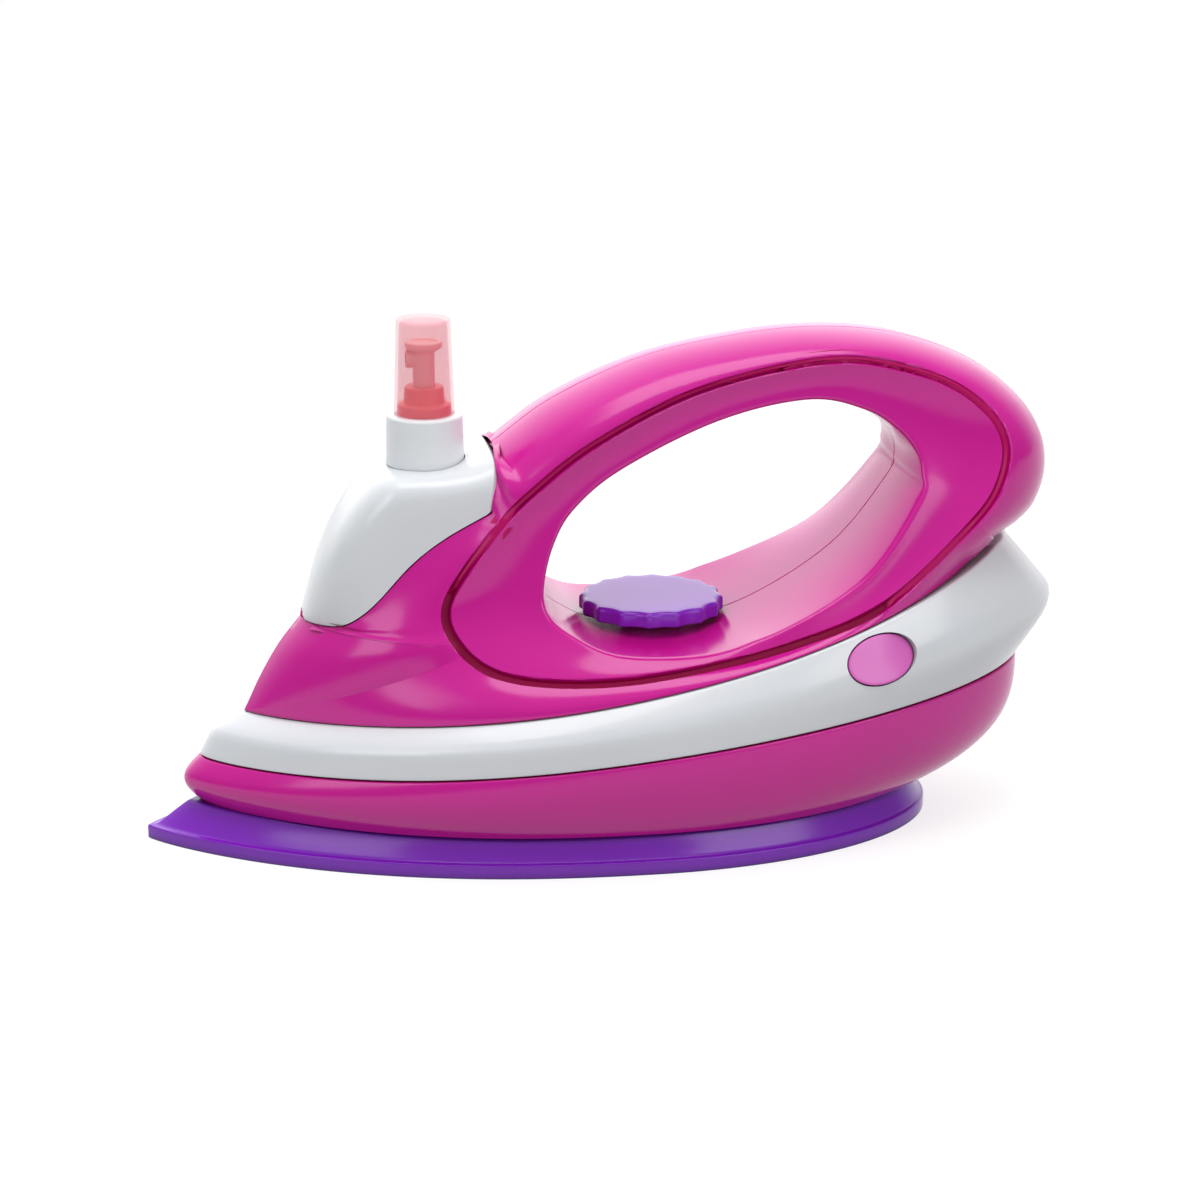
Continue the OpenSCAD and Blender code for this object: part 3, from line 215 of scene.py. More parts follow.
# Glass-epoxy laminate under green lacquer, foamed gasket and shrink film: seen only when it is opened
# their third colours are painted shade for creases
boardLaminate = mouldedAbs("glass_epoxy_lacquered", "#2f7a4a", "#286b40", "#1c5030",
                           dict(glossAbs, ripple=0.8, bloom=4))
gasketFoam = mouldedPp("pe_foam_cut", "#efefea", "#dededa", 0.1, 0.0,
                       dict(waxyPp, grain=0.3, dull=(0.6, 0.8), ior=1.5))
shrinkFilm = mouldedAbs("pvc_film_shrunk", "#4a6fb5", "#4366aa", "#30508c",
                        dict(glossAbs, ripple=1.5, bloom=9))
print("finishes:", len(bpy.data.materials))


# Mesh tools: points nearer than the weld become one, edges shorter than the sliver go
meshRules = dict(weld=0.004, sliver=0.002, crease=32)


def addPiece(name, points, faces, finish, body, slot, *nodes):
    mesh = bpy.data.meshes.new(name)
    place = (np.asarray(points, float).reshape(-1, 3) + [tipX, 0, 0]) * mm
    mesh.from_pydata(place.tolist(), [], faces)
    piece = bpy.data.objects.new(name, mesh)
    bpy.context.scene.collection.objects.link(piece)
    if finish:
        mesh.materials.append(finish)
    if body:
        tidyMesh(piece)
        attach(piece, body)
    if nodes:
        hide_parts(*nodes)
    return piece


def tidyMesh(piece, crease=meshRules["crease"]):
    work = bmesh.new()
    work.from_mesh(piece.data)
    bmesh.ops.remove_doubles(work, verts=work.verts, dist=meshRules["weld"] * mm)
    bmesh.ops.dissolve_degenerate(work, edges=work.edges, dist=meshRules["sliver"] * mm)
    bmesh.ops.recalc_face_normals(work, faces=work.faces)
    work.to_mesh(piece.data)
    work.free()
    piece.data.shade_smooth()
    piece.data.set_sharp_from_angle(angle=math.radians(crease))


def bake(piece):
    graph = bpy.context.evaluated_depsgraph_get()
    piece.data = bpy.data.meshes.new_from_object(piece.evaluated_get(graph))
    piece.modifiers.clear()


def combine(piece, tools, operation="DIFFERENCE"):
    for cutter in tools:
        cut = piece.modifiers.new("cut", "BOOLEAN")
        cut.operation = operation
        cut.solver = "EXACT"
        cut.object = cutter
        bake(piece)
        bpy.data.objects.remove(cutter)


def gridFaces(rows, columns, wrapRows=False, wrapColumns=True):
    faces = []
    for k in range(rows if wrapRows else rows - 1):
        a, b = k * columns, (k + 1) % rows * columns
        for i in range(columns if wrapColumns else columns - 1):
            j = (i + 1) % columns
            faces.append((a + i, a + j, b + j, b + i))
    return faces


def endFaces(rows, columns):
    return [tuple(range(columns)), tuple(range((rows - 1) * columns, rows * columns))]


def acrossFaces(start, count):
    faces = []  # strips from the near side to the far side of one ring
    for i in range(count // 2):
        strip = [start + i, start + i + 1, start + (count - i - 1) % count, start + (count - i) % count]
        faces.append(tuple(dict.fromkeys(strip)))
    return faces


def roundCorners(rings, radii, closed, steps=6, most=0.48):
    # a rounding takes up at most this share of each stretch beside the corner
    out = []
    for k, ring in enumerate(rings):
        ends = not closed and k in (0, len(rings) - 1)
        if ends or np.max(radii[k]) == 0:
            out.append(ring)
            continue
        back, ahead = rings[k - 1] - ring, rings[(k + 1) % len(rings)] - ring
        backLength = np.linalg.norm(back, axis=-1, keepdims=True)
        aheadLength = np.linalg.norm(ahead, axis=-1, keepdims=True)
        a = ring + unit(back) * np.minimum(radii[k], most * backLength)
        b = ring + unit(ahead) * np.minimum(radii[k], most * aheadLength)
        for t in np.linspace(0, 1, steps):
            out.append((1 - t) ** 2 * a + 2 * t * (1 - t) * ring + t * t * b)
    return out


def loftFaces(rings, closed):
    count = len(rings[0])
    faces = gridFaces(len(rings), count, closed)
    if not closed:
        faces += acrossFaces(0, count) + acrossFaces((len(rings) - 1) * count, count)
    return faces


nearAxis = 0.01  # turned profiles start this far from their axis, so that no faces fold there


def lathe(profile, radii, sides=96, steps=5):
    rows = [np.array([p], float) for p in profile]
    line = np.array([r[0] for r in roundCorners(rows, radii, False, steps)])
    turn = np.linspace(0, 2 * math.pi, sides, endpoint=False)
    points = [[r * math.cos(a), r * math.sin(a), z] for r, z in line for a in turn]
    return np.array(points), gridFaces(len(line), sides) + endFaces(len(line), sides)


def tool(points, faces):
    piece = addPiece("tool", points, faces, None, None, None)
    tidyMesh(piece)
    return piece


def drum(diameter, low, high, place=Matrix(), sides=64):
    points, faces = lathe([(diameter / 2, low), (diameter / 2, high)], [0, 0], sides)
    return moved(points, place), faces


def moved(points, place):
    return np.array([place @ Vector(p) for p in points])


def slab(low, high):
    points = [[x, y, z] for x in (low[0], high[0]) for y in (low[1], high[1]) for z in (low[2], high[2])]
    faces = [(0, 1, 3, 2), (4, 6, 7, 5), (0, 4, 5, 1), (2, 3, 7, 6), (0, 2, 6, 4), (1, 5, 7, 3)]
    return np.array(points, float), faces


# Casing lines: plan outlines and sheer lines that the casing pieces share
lines = dict(
    planSteps=150, nosePower=2.3, noseRoot=0.86, seam=0.25,
    soleLength=190, soleWidth=87, soleWide=0.615, plateTop=9.3,
    skirtWidth=91, skirtNose=9, skirtTail=212.4, skirtWide=0.52,
    skirtTop=20.3, skirtClimb=18.6, skirtPower=1.35,
    bandNose=13, bandWidth=89.4, bandWide=0.48, bandClimb=37.3, bandSheer=0.4,
    creaseNose=16.21, heelZ=52.5, creaseStart=26.874, creaseSheer=0.5,
    bodyNose=23.7, bodyTail=204, bodyWide=0.51, bodyWidth=79, bodyBase=30.75, bodyHeight=88.6, bodyPower=2.4)
skirtWide = lerp(lines["skirtNose"], lines["skirtTail"], lines["skirtWide"])
bandWide = lerp(lines["bandNose"], overall, lines["bandWide"])
bodyWide = lerp(lines["bodyNose"], lines["bodyTail"], lines["bodyWide"])


def planHalf(s, nose, wide, tail, half, power=2.0, root=lines["noseRoot"]):
    s = np.asarray(s, float)
    fore = np.clip((wide - s) / (wide - nose), 0, 1)
    aft = np.clip((s - wide) / (tail - wide), 0, 1)
    return half * np.where(s <= wide, (1 - fore ** lines["nosePower"]) ** root, (1 - aft ** power) ** 0.5)


def planRing(nose, wide, tail, half, height, power=2.0, blunt=0.0):
    # near side from the nose to the tail, far side back; blunt rounds the nose seen from above
    apex = nose - blunt
    turn = (1 - np.cos(np.linspace(0, math.pi, lines["planSteps"] + 1))) / 2
    s = lerp(apex, tail, turn)
    y = planHalf(s, apex, wide, tail, half, power)
    s = apex + np.sqrt((s - apex) ** 2 + (blunt * (1 - turn)) ** 2)
    near = np.stack([s, -y, height(s) + 0 * s], -1)
    return np.concatenate([near, near[-2:0:-1] * [1, -1, 1]])


def sheer(t, straight):
    return straight * t + (1 - straight) * t ** 3


def skirtEdge(s):
    run = np.clip((s - lines["skirtNose"]) / (lines["skirtTail"] - lines["skirtNose"]), 0, None)
    return lines["skirtTop"] + lines["skirtClimb"] * run ** lines["skirtPower"]


def creaseLine(s):
    run = np.clip((s - lines["creaseNose"]) / (overall - lines["creaseNose"]), 0, None)
    return lines["creaseStart"] + (lines["heelZ"] - lines["creaseStart"]) * sheer(run, lines["creaseSheer"])


def bandEdge(s):
    run = np.clip((s - lines["bodyNose"]) / (lines["bodyTail"] - lines["bodyNose"]), 0, 1)
    return lines["bodyBase"] + lines["bandClimb"] * sheer(run, lines["bandSheer"])


# Soleplate: flat rim, ledge and leaning plate wall; underneath the door's opening, screw wells and grille
sole = dict(rim=3.4, chamfer=0.3, ledge=1.1, lean=2.2, setBack=8, wall=2, roundShare=0.75,
            edge=0.45, ledgeRound=0.9, shoulder=2.6, topRound=0.8, innerRound=0.4,
            bay=(85.777, 140.677, 15.1), doorLedge=1.4, cupStation=79.18, cupWidth=8.4,
            screwStations=(59.94, 142.08), well=5.5, wellInset=9.3,
            grille=164.28, grilleHole=2, grilleRing=7.56, past=1)
soleWide = lines["soleLength"] * lines["soleWide"]


def soleRing(z, inset, nose):
    return planRing(nose, soleWide, lines["soleLength"] - inset, lines["soleWidth"] / 2 - inset, lambda s: z)


def screwSpots():
    spots = []
    for s in sole["screwStations"]:
        y = float(planHalf(s, 0, soleWide, lines["soleLength"], lines["soleWidth"] / 2)) - sole["wellInset"]
        spots += [(s, -y), (s, y)]
    return spots


def makeSole():
    inset = sole["ledge"] + sole["lean"]
    top, wall = lines["plateTop"], sole["wall"]
    rings = [soleRing(0, sole["chamfer"], 2 * sole["chamfer"]), soleRing(0, 0, 0),
             soleRing(sole["rim"], 0, 0), soleRing(sole["rim"], sole["ledge"], 2 * sole["ledge"]),
             soleRing(lerp(sole["rim"], top, sole["roundShare"]), inset, sole["setBack"]),
             soleRing(top, inset + sole["ledge"], sole["setBack"] + 2 * sole["ledge"]),
             soleRing(top, inset + sole["ledge"] + wall, sole["setBack"] + 3 * wall),
             soleRing(wall, inset + wall, sole["setBack"] + 2 * wall)]
    radii = [0, sole["edge"], sole["edge"], sole["ledgeRound"], sole["shoulder"],
             sole["topRound"], sole["innerRound"], 0]
    rings = roundCorners(rings, radii, False)
    piece = addPiece("soleplate_shell", np.concatenate(rings), loftFaces(rings, False),
                     purpleAbs, "housing", "purple_plastic", "soleplate")
    first, last, half = sole["bay"]
    ledge, cup = sole["doorLedge"], sole["cupWidth"] / 2
    under, over = -sole["past"], wall + sole["past"]
    tools = [tool(*slab((first, -half, under), (last, half, over))),
             tool(*slab((first - ledge, -half - ledge, under), (last + ledge, half + ledge, wall / 2))),
             tool(*slab((sole["cupStation"], -cup, under), (first, cup, wall / 2))),
             tool(*drum(2 * cup, under, over, Matrix.Translation((sole["cupStation"], 0, 0))))]
    for s, y in screwSpots():
        tools.append(tool(*drum(sole["well"], under, over, Matrix.Translation((s, y, 0)))))
    turns = [(0, 0)] + [(sole["grilleRing"], math.pi * i / 3) for i in range(6)]
    for reach, a in turns:
        spot = (sole["grille"] + reach * math.cos(a), reach * math.sin(a), 0)
        tools.append(tool(*drum(sole["grilleHole"], under, over, Matrix.Translation(spot), 32)))
    combine(piece, tools)
    tidyMesh(piece)


makeSole()
print("soleplate made")

# Base skirt: a rounded tray that climbs at the stern
skirt = dict(bulge=4, tuck=4, roll=0.16, footTail=188, sternPower=3.2, wall=2.2, levels=26, edge=1.0,
             blunt=2.0, innerLevels=(1, 0.6, 0.3), innerEdge=0.5, floorLevel=0.1)


def skirtRing(t, inset):
    nose = lines["skirtNose"] + inset + skirt["bulge"] * (1 - math.sin(math.pi * t))
    tail = lerp(skirt["footTail"], lines["skirtTail"], 1 - (1 - t) ** skirt["sternPower"]) - inset
    half = lines["skirtWidth"] / 2 - inset - skirt["tuck"] * ((1 - t) ** 3 + skirt["roll"] * t ** 6)
    return planRing(nose, skirtWide, tail, half, lambda s: lerp(lines["plateTop"], skirtEdge(s), t),
                    blunt=skirt["blunt"])


def makeSkirt():
    levels = np.linspace(0, 1, skirt["levels"])
    inner = [skirtRing(t, skirt["wall"]) for t in skirt["innerLevels"]]
    floor = skirtRing(skirt["floorLevel"], skirt["wall"])
    floor[:, 2] = lines["plateTop"] + skirt["wall"]
    rings = [skirtRing(t, 0) for t in levels] + inner + [floor]
    radii = [0] * (skirt["levels"] - 1) + [skirt["edge"], skirt["innerEdge"]] + [0] * len(inner)
    rings = roundCorners(rings, radii, False)
    addPiece("skirt_shell", np.concatenate(rings), loftFaces(rings, False),
             magentaAbs, "housing", "magenta_plastic", "base_skirt")


makeSkirt()
print("base skirt made")

# White band: upright lower face, crease, leaning upper face that flares into the heel
band = dict(wall=2.2, swell=0.9, heelTop=208.6, creaseRound=(2.4, 8.0), edge=0.9, innerEdge=0.5, blunt=2.0,
            footShare=0.15, faceFrom=0.4, faceSteps=9, cutReach=7,
            button=(170.274, -36.6002, 47.5892), buttonTurn=15.5, buttonTilt=20, buttonRoll=9)
button = dict(length=17.4, width=11.4, gap=0.35, crown=60, crownDepth=2, edge=0.7, depth=4.6,
              flange=1.0, flangeReach=1.12)
buttonFrame = (Matrix.Translation(band["button"]) @ Matrix.Rotation(math.radians(band["buttonTurn"]), 4, "Z")
               @ Matrix.Rotation(math.radians(90 - band["buttonTilt"]), 4, "X")
               @ Matrix.Rotation(math.radians(band["buttonRoll"]), 4, "Z"))


def bandFoot(inset):
    return planRing(lines["bandNose"] + inset, skirtWide, lines["skirtTail"] - inset,
                    lines["skirtWidth"] / 2 - skirt["tuck"] * skirt["roll"] - inset,
                    lambda s: skirtEdge(s) + lines["seam"], blunt=band["blunt"])


def bandCrease(inset):
    return planRing(lines["creaseNose"] + inset, bandWide, overall - inset, lines["bandWidth"] / 2 - inset,
                    creaseLine, blunt=band["blunt"])


def bandTop(inset, tail):
    return planRing(lines["bodyNose"] + inset, bodyWide, tail - inset, lines["bodyWidth"] / 2 - inset,
                    bandEdge, lines["bodyPower"], band["blunt"])


def ovalTool(length, width, low, high, sides=96):
    points, faces = lathe([(0.5, low), (0.5, high)], [0, 0], sides)
    return moved(points * [length, width, 1], buttonFrame), faces


def makeBand():
    foot, crease, top = bandFoot(0), bandCrease(0), bandTop(0, band["heelTop"])
    count = len(foot)
    tailward = np.concatenate([np.linspace(0, 1, count // 2 + 1), np.linspace(1, 0, count // 2 + 1)[1:-1]])
    creaseRadius = lerp(*band["creaseRound"], tailward[:, None] ** 3)
    low = lerp(foot, crease, band["footShare"])
    outward = np.sign(crease[:, 1])[:, None] * [0, 1, 0] * band["swell"]
    levels = np.linspace(band["faceFrom"], 1, band["faceSteps"])[:-1]
    high = [lerp(crease, top, t) + outward * 4 * t * (1 - t) for t in levels]
    wall, inner = band["wall"], band["innerEdge"]
    inside = [bandTop(wall, lines["bodyTail"]), bandCrease(wall), bandFoot(wall)]
    rings = [foot, low, crease] + high + [top] + inside
    radii = [band["edge"], 0, creaseRadius] + [0] * len(high) + [band["edge"], inner, 0, inner]
    rings = roundCorners(rings, radii, True)
    piece = addPiece("band_shell", np.concatenate(rings), loftFaces(rings, True),
                     whiteAbs, "housing", "white_plastic", "white_band")
    gap, reach = 2 * button["gap"], band["cutReach"]
    combine(piece, [tool(*ovalTool(button["length"] + gap, button["width"] + gap, -reach, reach))])
    tidyMesh(piece)


makeBand()


def makeButton():
    size = np.array([button["length"] / 2, button["width"] / 2])
    rim = button["edge"] / size[1]
    deep, foot, out = -button["depth"], -button["depth"] - button["flange"], button["flangeReach"]
    profile = [(nearAxis, 0), (1, 0), (1, deep), (out, deep), (out, foot), (nearAxis, foot)]
    flat, faces = lathe(profile, [0, rim, 0, 0, 0, 0], 96, 8)
    points = flat * [size[0], size[1], 1]
    drop = np.sqrt(button["crown"] ** 2 - points[:, 0] ** 2) - button["crown"]
    points[:, 2] += np.where(points[:, 2] > -button["crownDepth"], drop, 0)
    addPiece("button_cap", moved(points, buttonFrame), faces,
             pinkAbs, "button", "pink_plastic", "oval_button")


makeButton()
print("band and button made")

# Body shells: one skin lofted round the hand hole, from the outer outline to the seam inside the hole
shell = dict(
    wall=1.6, crease=38, waist=73, grip=31, gripFrom=0.15, gripSpan=0.81,
    sideNose=1.7, sideRoot=0.9, sidePower=0.9,
    grooveWidth=2.5, grooveDepth=2.1, grooveWall=0.55, grooveNear=6, grooveShadeFrom=0.5,
    rim=0.28, rimDrop=0.8, dish=0.8, flare=2.4, lip=1.1, lipSteps=9, uprightFrom=0.6, sectionSteps=(49, 33),
    columns=[3.8, 3.2, 2.7, 2.3, 2.0, 1.8], fineFrom=1.65, fineSteps=15, columnReach=4.4, columnShare=0.85,
    columnSteps=dict(band=26, panel=14, wall=22), normalPasses=3,
    tankWidth=37, tankRoot=0.65, tankPower=3, steps=dict(crest=84, step=14, diagonal=28, ridge=18, foot=92),
    match=dict(stepTop=8, stepFoot=8.8, tankFront=10.95, nose=11.25, all=17),
    crest=[(0.947, 0.457), (0.968, 0.507), (0.980, 0.596), (0.975, 0.698), (0.948, 0.801), (0.894, 0.902),
           (0.811, 0.977), (0.720, 1), (0.626, 0.980), (0.534, 0.931), (0.441, 0.830), (0.377, 0.717)],
    diagonal=[(0.366, 0.577), (0.317, 0.511), (0.282, 0.444), (0.248, 0.351), (0.230, 0.307), (0.2135, 0.277),
              (0.197, 0.263), (0.170, 0.260)],
    ridge=[(0.170, 0.260), (0.148, 0.193), (0.133, 0.133), (0.121, 0.077), (0.112, 0.029)],
    groove=[(0.876, 0.520), (0.908, 0.630), (0.912, 0.737), (0.883, 0.831), (0.827, 0.904), (0.730, 0.945),
            (0.590, 0.881), (0.478, 0.757), (0.409, 0.634), (0.364, 0.522), (0.317, 0.348), (0.327, 0.240),
            (0.369, 0.170), (0.450, 0.155), (0.563, 0.177), (0.676, 0.229), (0.779, 0.325)],
    hole=[(0.809, 0.585), (0.816, 0.641), (0.813, 0.692), (0.795, 0.748), (0.761, 0.800), (0.703, 0.826),
          (0.608, 0.777), (0.509, 0.669), (0.4585, 0.575), (0.435, 0.485), (0.423, 0.379), (0.426, 0.314),
          (0.4485, 0.260), (0.4955, 0.211), (0.5856, 0.208), (0.662, 0.2625), (0.750, 0.402)],
    edge=[0.95, 0.90, 0.86] + [0.84] * 9 + [0.86, 0.90, 0.95, 1.0, 0.98],
    flareShares=[0.9, 0.75, 0.65] + [0.6] * 6 + [0.55, 0.5, 0.4, 0.2, 0, -0.45, -0.2, 0.75],
    dishShares=[1] * 10 + [0.8, 0.2, -0.7, -1, -0.7, 0, 0.7],
    footMatch=[0.369, 0.45, 0.563, 0.676, 0.779], footPlaces=[12, 13, 14, 15, 16],
    stepPower=2.6, looseFrom=0.7, headInset=1.2, headDeep=5, headSteps=25)


def sideView(shares):
    return np.array(shares) * [overall, lines["bodyHeight"]] + [0, lines["bodyBase"]]


def curve(p, q, r, w, u):
    # smooth spline through q and r
    return 0.5 * (2 * q + (r - p) * u + (2 * p - 5 * q + 4 * r - w) * u ** 2
                  + (3 * q - p - 3 * r + w) * u ** 3)


def openCurve(points, t):
    last = len(points) - 1
    i = min(last - 1, int(t * last))
    before = points[i - 1] if i > 0 else 2 * points[0] - points[1]
    after = points[i + 2] if i < last - 1 else 2 * points[last] - points[last - 1]
    return curve(before, points[i], points[i + 1], after, t * last - i)


def closedCurve(points, m):
    n, i = len(points), int(math.floor(m))
    return curve(points[(i - 1) % n], points[i % n], points[(i + 1) % n], points[(i + 2) % n], m - i)


grooveLine, holeLine = sideView(shell["groove"]), sideView(shell["hole"])
edgeShares, flareShares, dishShares = (np.array(shell[k]) for k in ("edge", "flareShares", "dishShares"))
stepHalf = shell["tankWidth"] / 2


def sideHalf(s, z):
    # half width of the body at the groove and the hole: narrower up the handle and towards the nose
    high = max(0, (z - lines["bodyBase"]) / lines["bodyHeight"] - shell["gripFrom"]) / shell["gripSpan"]
    fore = min(1, max(0, bodyWide - s) / (bodyWide - lines["bodyNose"]))
    width = shell["waist"] - (shell["waist"] - shell["grip"]) * high ** shell["sidePower"]
    return (1 - fore ** shell["sideNose"]) ** shell["sideRoot"] * width / 2


def bodyPlan(s, nose, root):
    return planHalf(s, nose, bodyWide, lines["bodyTail"], lines["bodyWidth"] / 2, lines["bodyPower"], root)


def footZ(s):
    return float(bandEdge(s)) + lines["seam"]


def tankEdgeHalf(t):
    return stepHalf * math.sqrt(max(0, 1 - t ** shell["tankPower"]))


diagonalLine = sideView(shell["diagonal"])


def outlineEntries():
    # each entry: point on the outer outline, its place along the groove, plan start, plan root and
    # how closely the outer band keeps to that plan
    steps, match = shell["steps"], shell["match"]
    crest = np.vstack([[lines["bodyTail"], footZ(lines["bodyTail"])], sideView(shell["crest"])])
    ridge = np.vstack([sideView(shell["ridge"]), [lines["bodyNose"], footZ(lines["bodyNose"])]])
    top, foot = crest[-1], diagonalLine[0]
    entries = []
    for t in np.arange(steps["crest"]) / steps["crest"]:
        p = openCurve(crest, t)
        entries.append(((p[0], 0, p[1]), match["stepTop"] * t, 0, 0, 0))
    for t in np.arange(steps["step"]) / steps["step"]:
        a = math.pi / 2 * t
        out, up = math.sin(a) ** (2 / shell["stepPower"]), math.cos(a) ** (2 / shell["stepPower"])
        p = (lerp(top[0], foot[0], t), -stepHalf * out, lerp(foot[1], top[1], up))
        entries.append((p, lerp(match["stepTop"], match["stepFoot"], t), 0, 0, 0))
    for t in np.sin(np.arange(steps["diagonal"]) / steps["diagonal"] * math.pi / 2):
        p = openCurve(diagonalLine, t)
        half, root = tankEdgeHalf(t), shell["tankRoot"]
        fore = (1 - (2 * half / lines["bodyWidth"]) ** (1 / root)) ** (1 / lines["nosePower"])
        start = bodyWide - (bodyWide - p[0]) / fore
        place = lerp(match["stepFoot"], match["tankFront"], t)
        entries.append(((p[0], -half, p[1]), place, start, root, t * t))
    for t in np.arange(steps["ridge"]) / steps["ridge"]:
        p = openCurve(ridge, t)
        root = lerp(shell["tankRoot"], lines["noseRoot"], t)
        entries.append(((p[0], 0, p[1]), lerp(match["tankFront"], match["nose"], t), p[0], root, 1))
    stations = [lines["bodyNose"]] + [overall * f for f in shell["footMatch"]] + [lines["bodyTail"]]
    places = [match["nose"]] + shell["footPlaces"] + [match["all"]]
    for t in np.arange(steps["foot"]) / steps["foot"]:
        s = lerp(lines["bodyNose"], lines["bodyTail"], (1 - math.cos(math.pi * t)) / 2)
        half = float(bodyPlan(s, lines["bodyNose"], lines["noseRoot"]))
        place = float(np.interp(s, stations, places))
        tie = 1 - float(smooth((t - shell["looseFrom"]) / (1 - shell["looseFrom"])))
        entries.append(((s, -half, footZ(s)), place, lines["bodyNose"], lines["noseRoot"], tie))
    return entries


def shellSection(entry):
    # one row of the skin: the outer band, the panel inside the groove and the wall of the hand hole
    rim, place, start, root, tie = entry
    rim = np.array(rim)
    o, g = rim[[0, 2]], closedCurve(grooveLine, place)
    h = closedCurve(holeLine, place)
    e = h + unit(g - h) * shell["flare"] * closedCurve(flareShares, place)
    rimHalf, grooveHalf = -rim[1], sideHalf(*g)
    edgeHalf = closedCurve(edgeShares, place) * sideHalf(*e)
    turn, t = (np.linspace(0, 1, steps) for steps in shell["sectionSteps"])
    a = turn * math.pi / 2
    upright = min(1, max(0, (rimHalf / grooveHalf - shell["uprightFrom"]) / (1 - shell["uprightFrom"])))
    flat = lerp(o, g, lerp(lerp(1 - np.cos(a), np.sin(a), upright), turn, tie)[:, None])
    half = lerp(rimHalf, grooveHalf, lerp(np.sin(a), 1 - np.cos(a), upright))
    if tie > 0:
        spread = grooveHalf / bodyPlan(g[0], start, root)
        swell = turn * (2 - turn) if spread > 1 else turn ** 2
        half = lerp(half, bodyPlan(flat[:, 0], start, root) * lerp(1, spread, swell), tie)
    bandPart = np.stack([flat[:, 0], -half, flat[:, 1]], -1)
    bandPart[0] = rim
    flat = lerp(g, e, t[:, None])
    hollow = shell["dish"] * closedCurve(dishShares, place) * np.sin(math.pi * t)
    panel = np.stack([flat[:, 0], hollow - lerp(grooveHalf, edgeHalf, t), flat[:, 1]], -1)
    flat = lerp(e, h, 1 - (1 - t[:, None]) ** 3)
    wall = np.stack([flat[:, 0], -edgeHalf * (1 - t), flat[:, 1]], -1)
    return bandPart, panel, wall


def spaced(line, places):
    reach = np.concatenate([[0], np.cumsum(np.linalg.norm(np.diff(line, axis=0), axis=1))])
    return np.stack([np.interp(places(reach[-1]), reach, line[:, c]) for c in range(3)], -1)


def softLip(panel, wall):
    # rounds the edge between the panel and the wall of the hand hole
    lip = shell["lip"]
    back = spaced(panel, lambda r: np.array([r - lip]))[0]
    ahead = spaced(wall, lambda r: np.array([lip]))[0]
    t = np.linspace(0, 1, shell["lipSteps"])[:, None]
    return (1 - t) ** 2 * back + 2 * t * (1 - t) * panel[-1] + t * t * ahead


def grooveReach(skin, middle):
    # distance of each point from the groove's middle line
    line, near = skin[:, middle], shell["grooveNear"]
    best = np.full(skin.shape[:2], np.inf)
    for k in range(-near, near):
        start, end = np.roll(line, -k, 0)[:, None], np.roll(line, -k - 1, 0)[:, None]
        along = end - start
        t = np.sum((skin - start) * along, -1) / np.maximum(np.sum(along * along, -1), 1e-9)
        best = np.minimum(best, np.linalg.norm(skin - start - along * np.clip(t, 0, 1)[..., None], axis=-1))
    return best


def shellSkin():
    # finer columns on both sides of the groove, drawn together where the panel or the band is narrow
    fine = np.linspace(shell["fineFrom"], 0, shell["fineSteps"])[:-1]
    offsets, steps = np.concatenate([shell["columns"], fine]), shell["columnSteps"]
    rim, lip, reach, share = shell["rim"], shell["lip"], shell["columnReach"], shell["columnShare"]
    rows = []
    for entry in outlineEntries():
        bandPart, panel, wall = shellSection(entry)
        first = spaced(bandPart, lambda r: np.concatenate(
            [[0, rim], np.linspace(rim, r - min(reach, share * r), steps["band"])[1:],
             r - offsets * min(1, share * r / reach)]))
        second = spaced(panel, lambda r: np.concatenate(
            [[0], offsets[::-1] * min(1, share * (r - lip) / reach),
             np.linspace(min(reach, share * (r - lip)), r - lip, steps["panel"])[:-1]]))
        third = spaced(wall, lambda r: np.concatenate([np.linspace(lip, r - rim, steps["wall"])[1:], [r]]))
        rows.append(np.concatenate([first, second, softLip(panel, wall), third]))
    skin = np.array(rows)
    inward = unit(np.cross(np.gradient(skin, axis=1), np.roll(skin, -1, 0) - np.roll(skin, 1, 0)))
    evenness = np.sum(np.roll(inward, 1, 0) * np.roll(inward, -1, 0), -1)
    for _ in range(shell["normalPasses"]):
        inward = unit(np.roll(inward, 1, 0) + 2 * inward + np.roll(inward, -1, 0))
    off = grooveReach(skin, len(first))
    depth = shell["grooveDepth"] * smooth((shell["grooveWidth"] / 2 - off) / shell["grooveWall"])
    for c in (0, -1):
        depth[:, c] = shell["rimDrop"] * rim * np.clip(evenness[:, c], 0, 1)
    # the second value marks the groove's deeper faces, which get painted shade
    return skin + inward * depth[..., None], depth > shell["grooveShadeFrom"] * shell["grooveDepth"]


def makeShells():
    skin, sunk = shellSkin()
    faces = gridFaces(*skin.shape[:2], True, False)
    # faces down in the groove take the darker magenta, painted shade in the channel
    grooveShadeFaces = (sunk[:, 1:] & sunk[:, :-1]).ravel().astype(int)
    for name, node, side in (("body_near_half", "left_shell", 1), ("body_far_half", "right_shell", -1)):
        piece = addPiece(name, skin * [1, side, 1], faces, magentaAbs, None, None)
        piece.data.materials.append(grooveShadeAbs)
        piece.data.polygons.foreach_set("material_index", grooveShadeFaces)
        tidyMesh(piece)
        thick = piece.modifiers.new("wall", "SOLIDIFY")
        thick.thickness = shell["wall"] * mm
        thick.offset = -1
        bake(piece)
        tidyMesh(piece, shell["crease"])
        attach(piece, "housing")
        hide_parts(node)


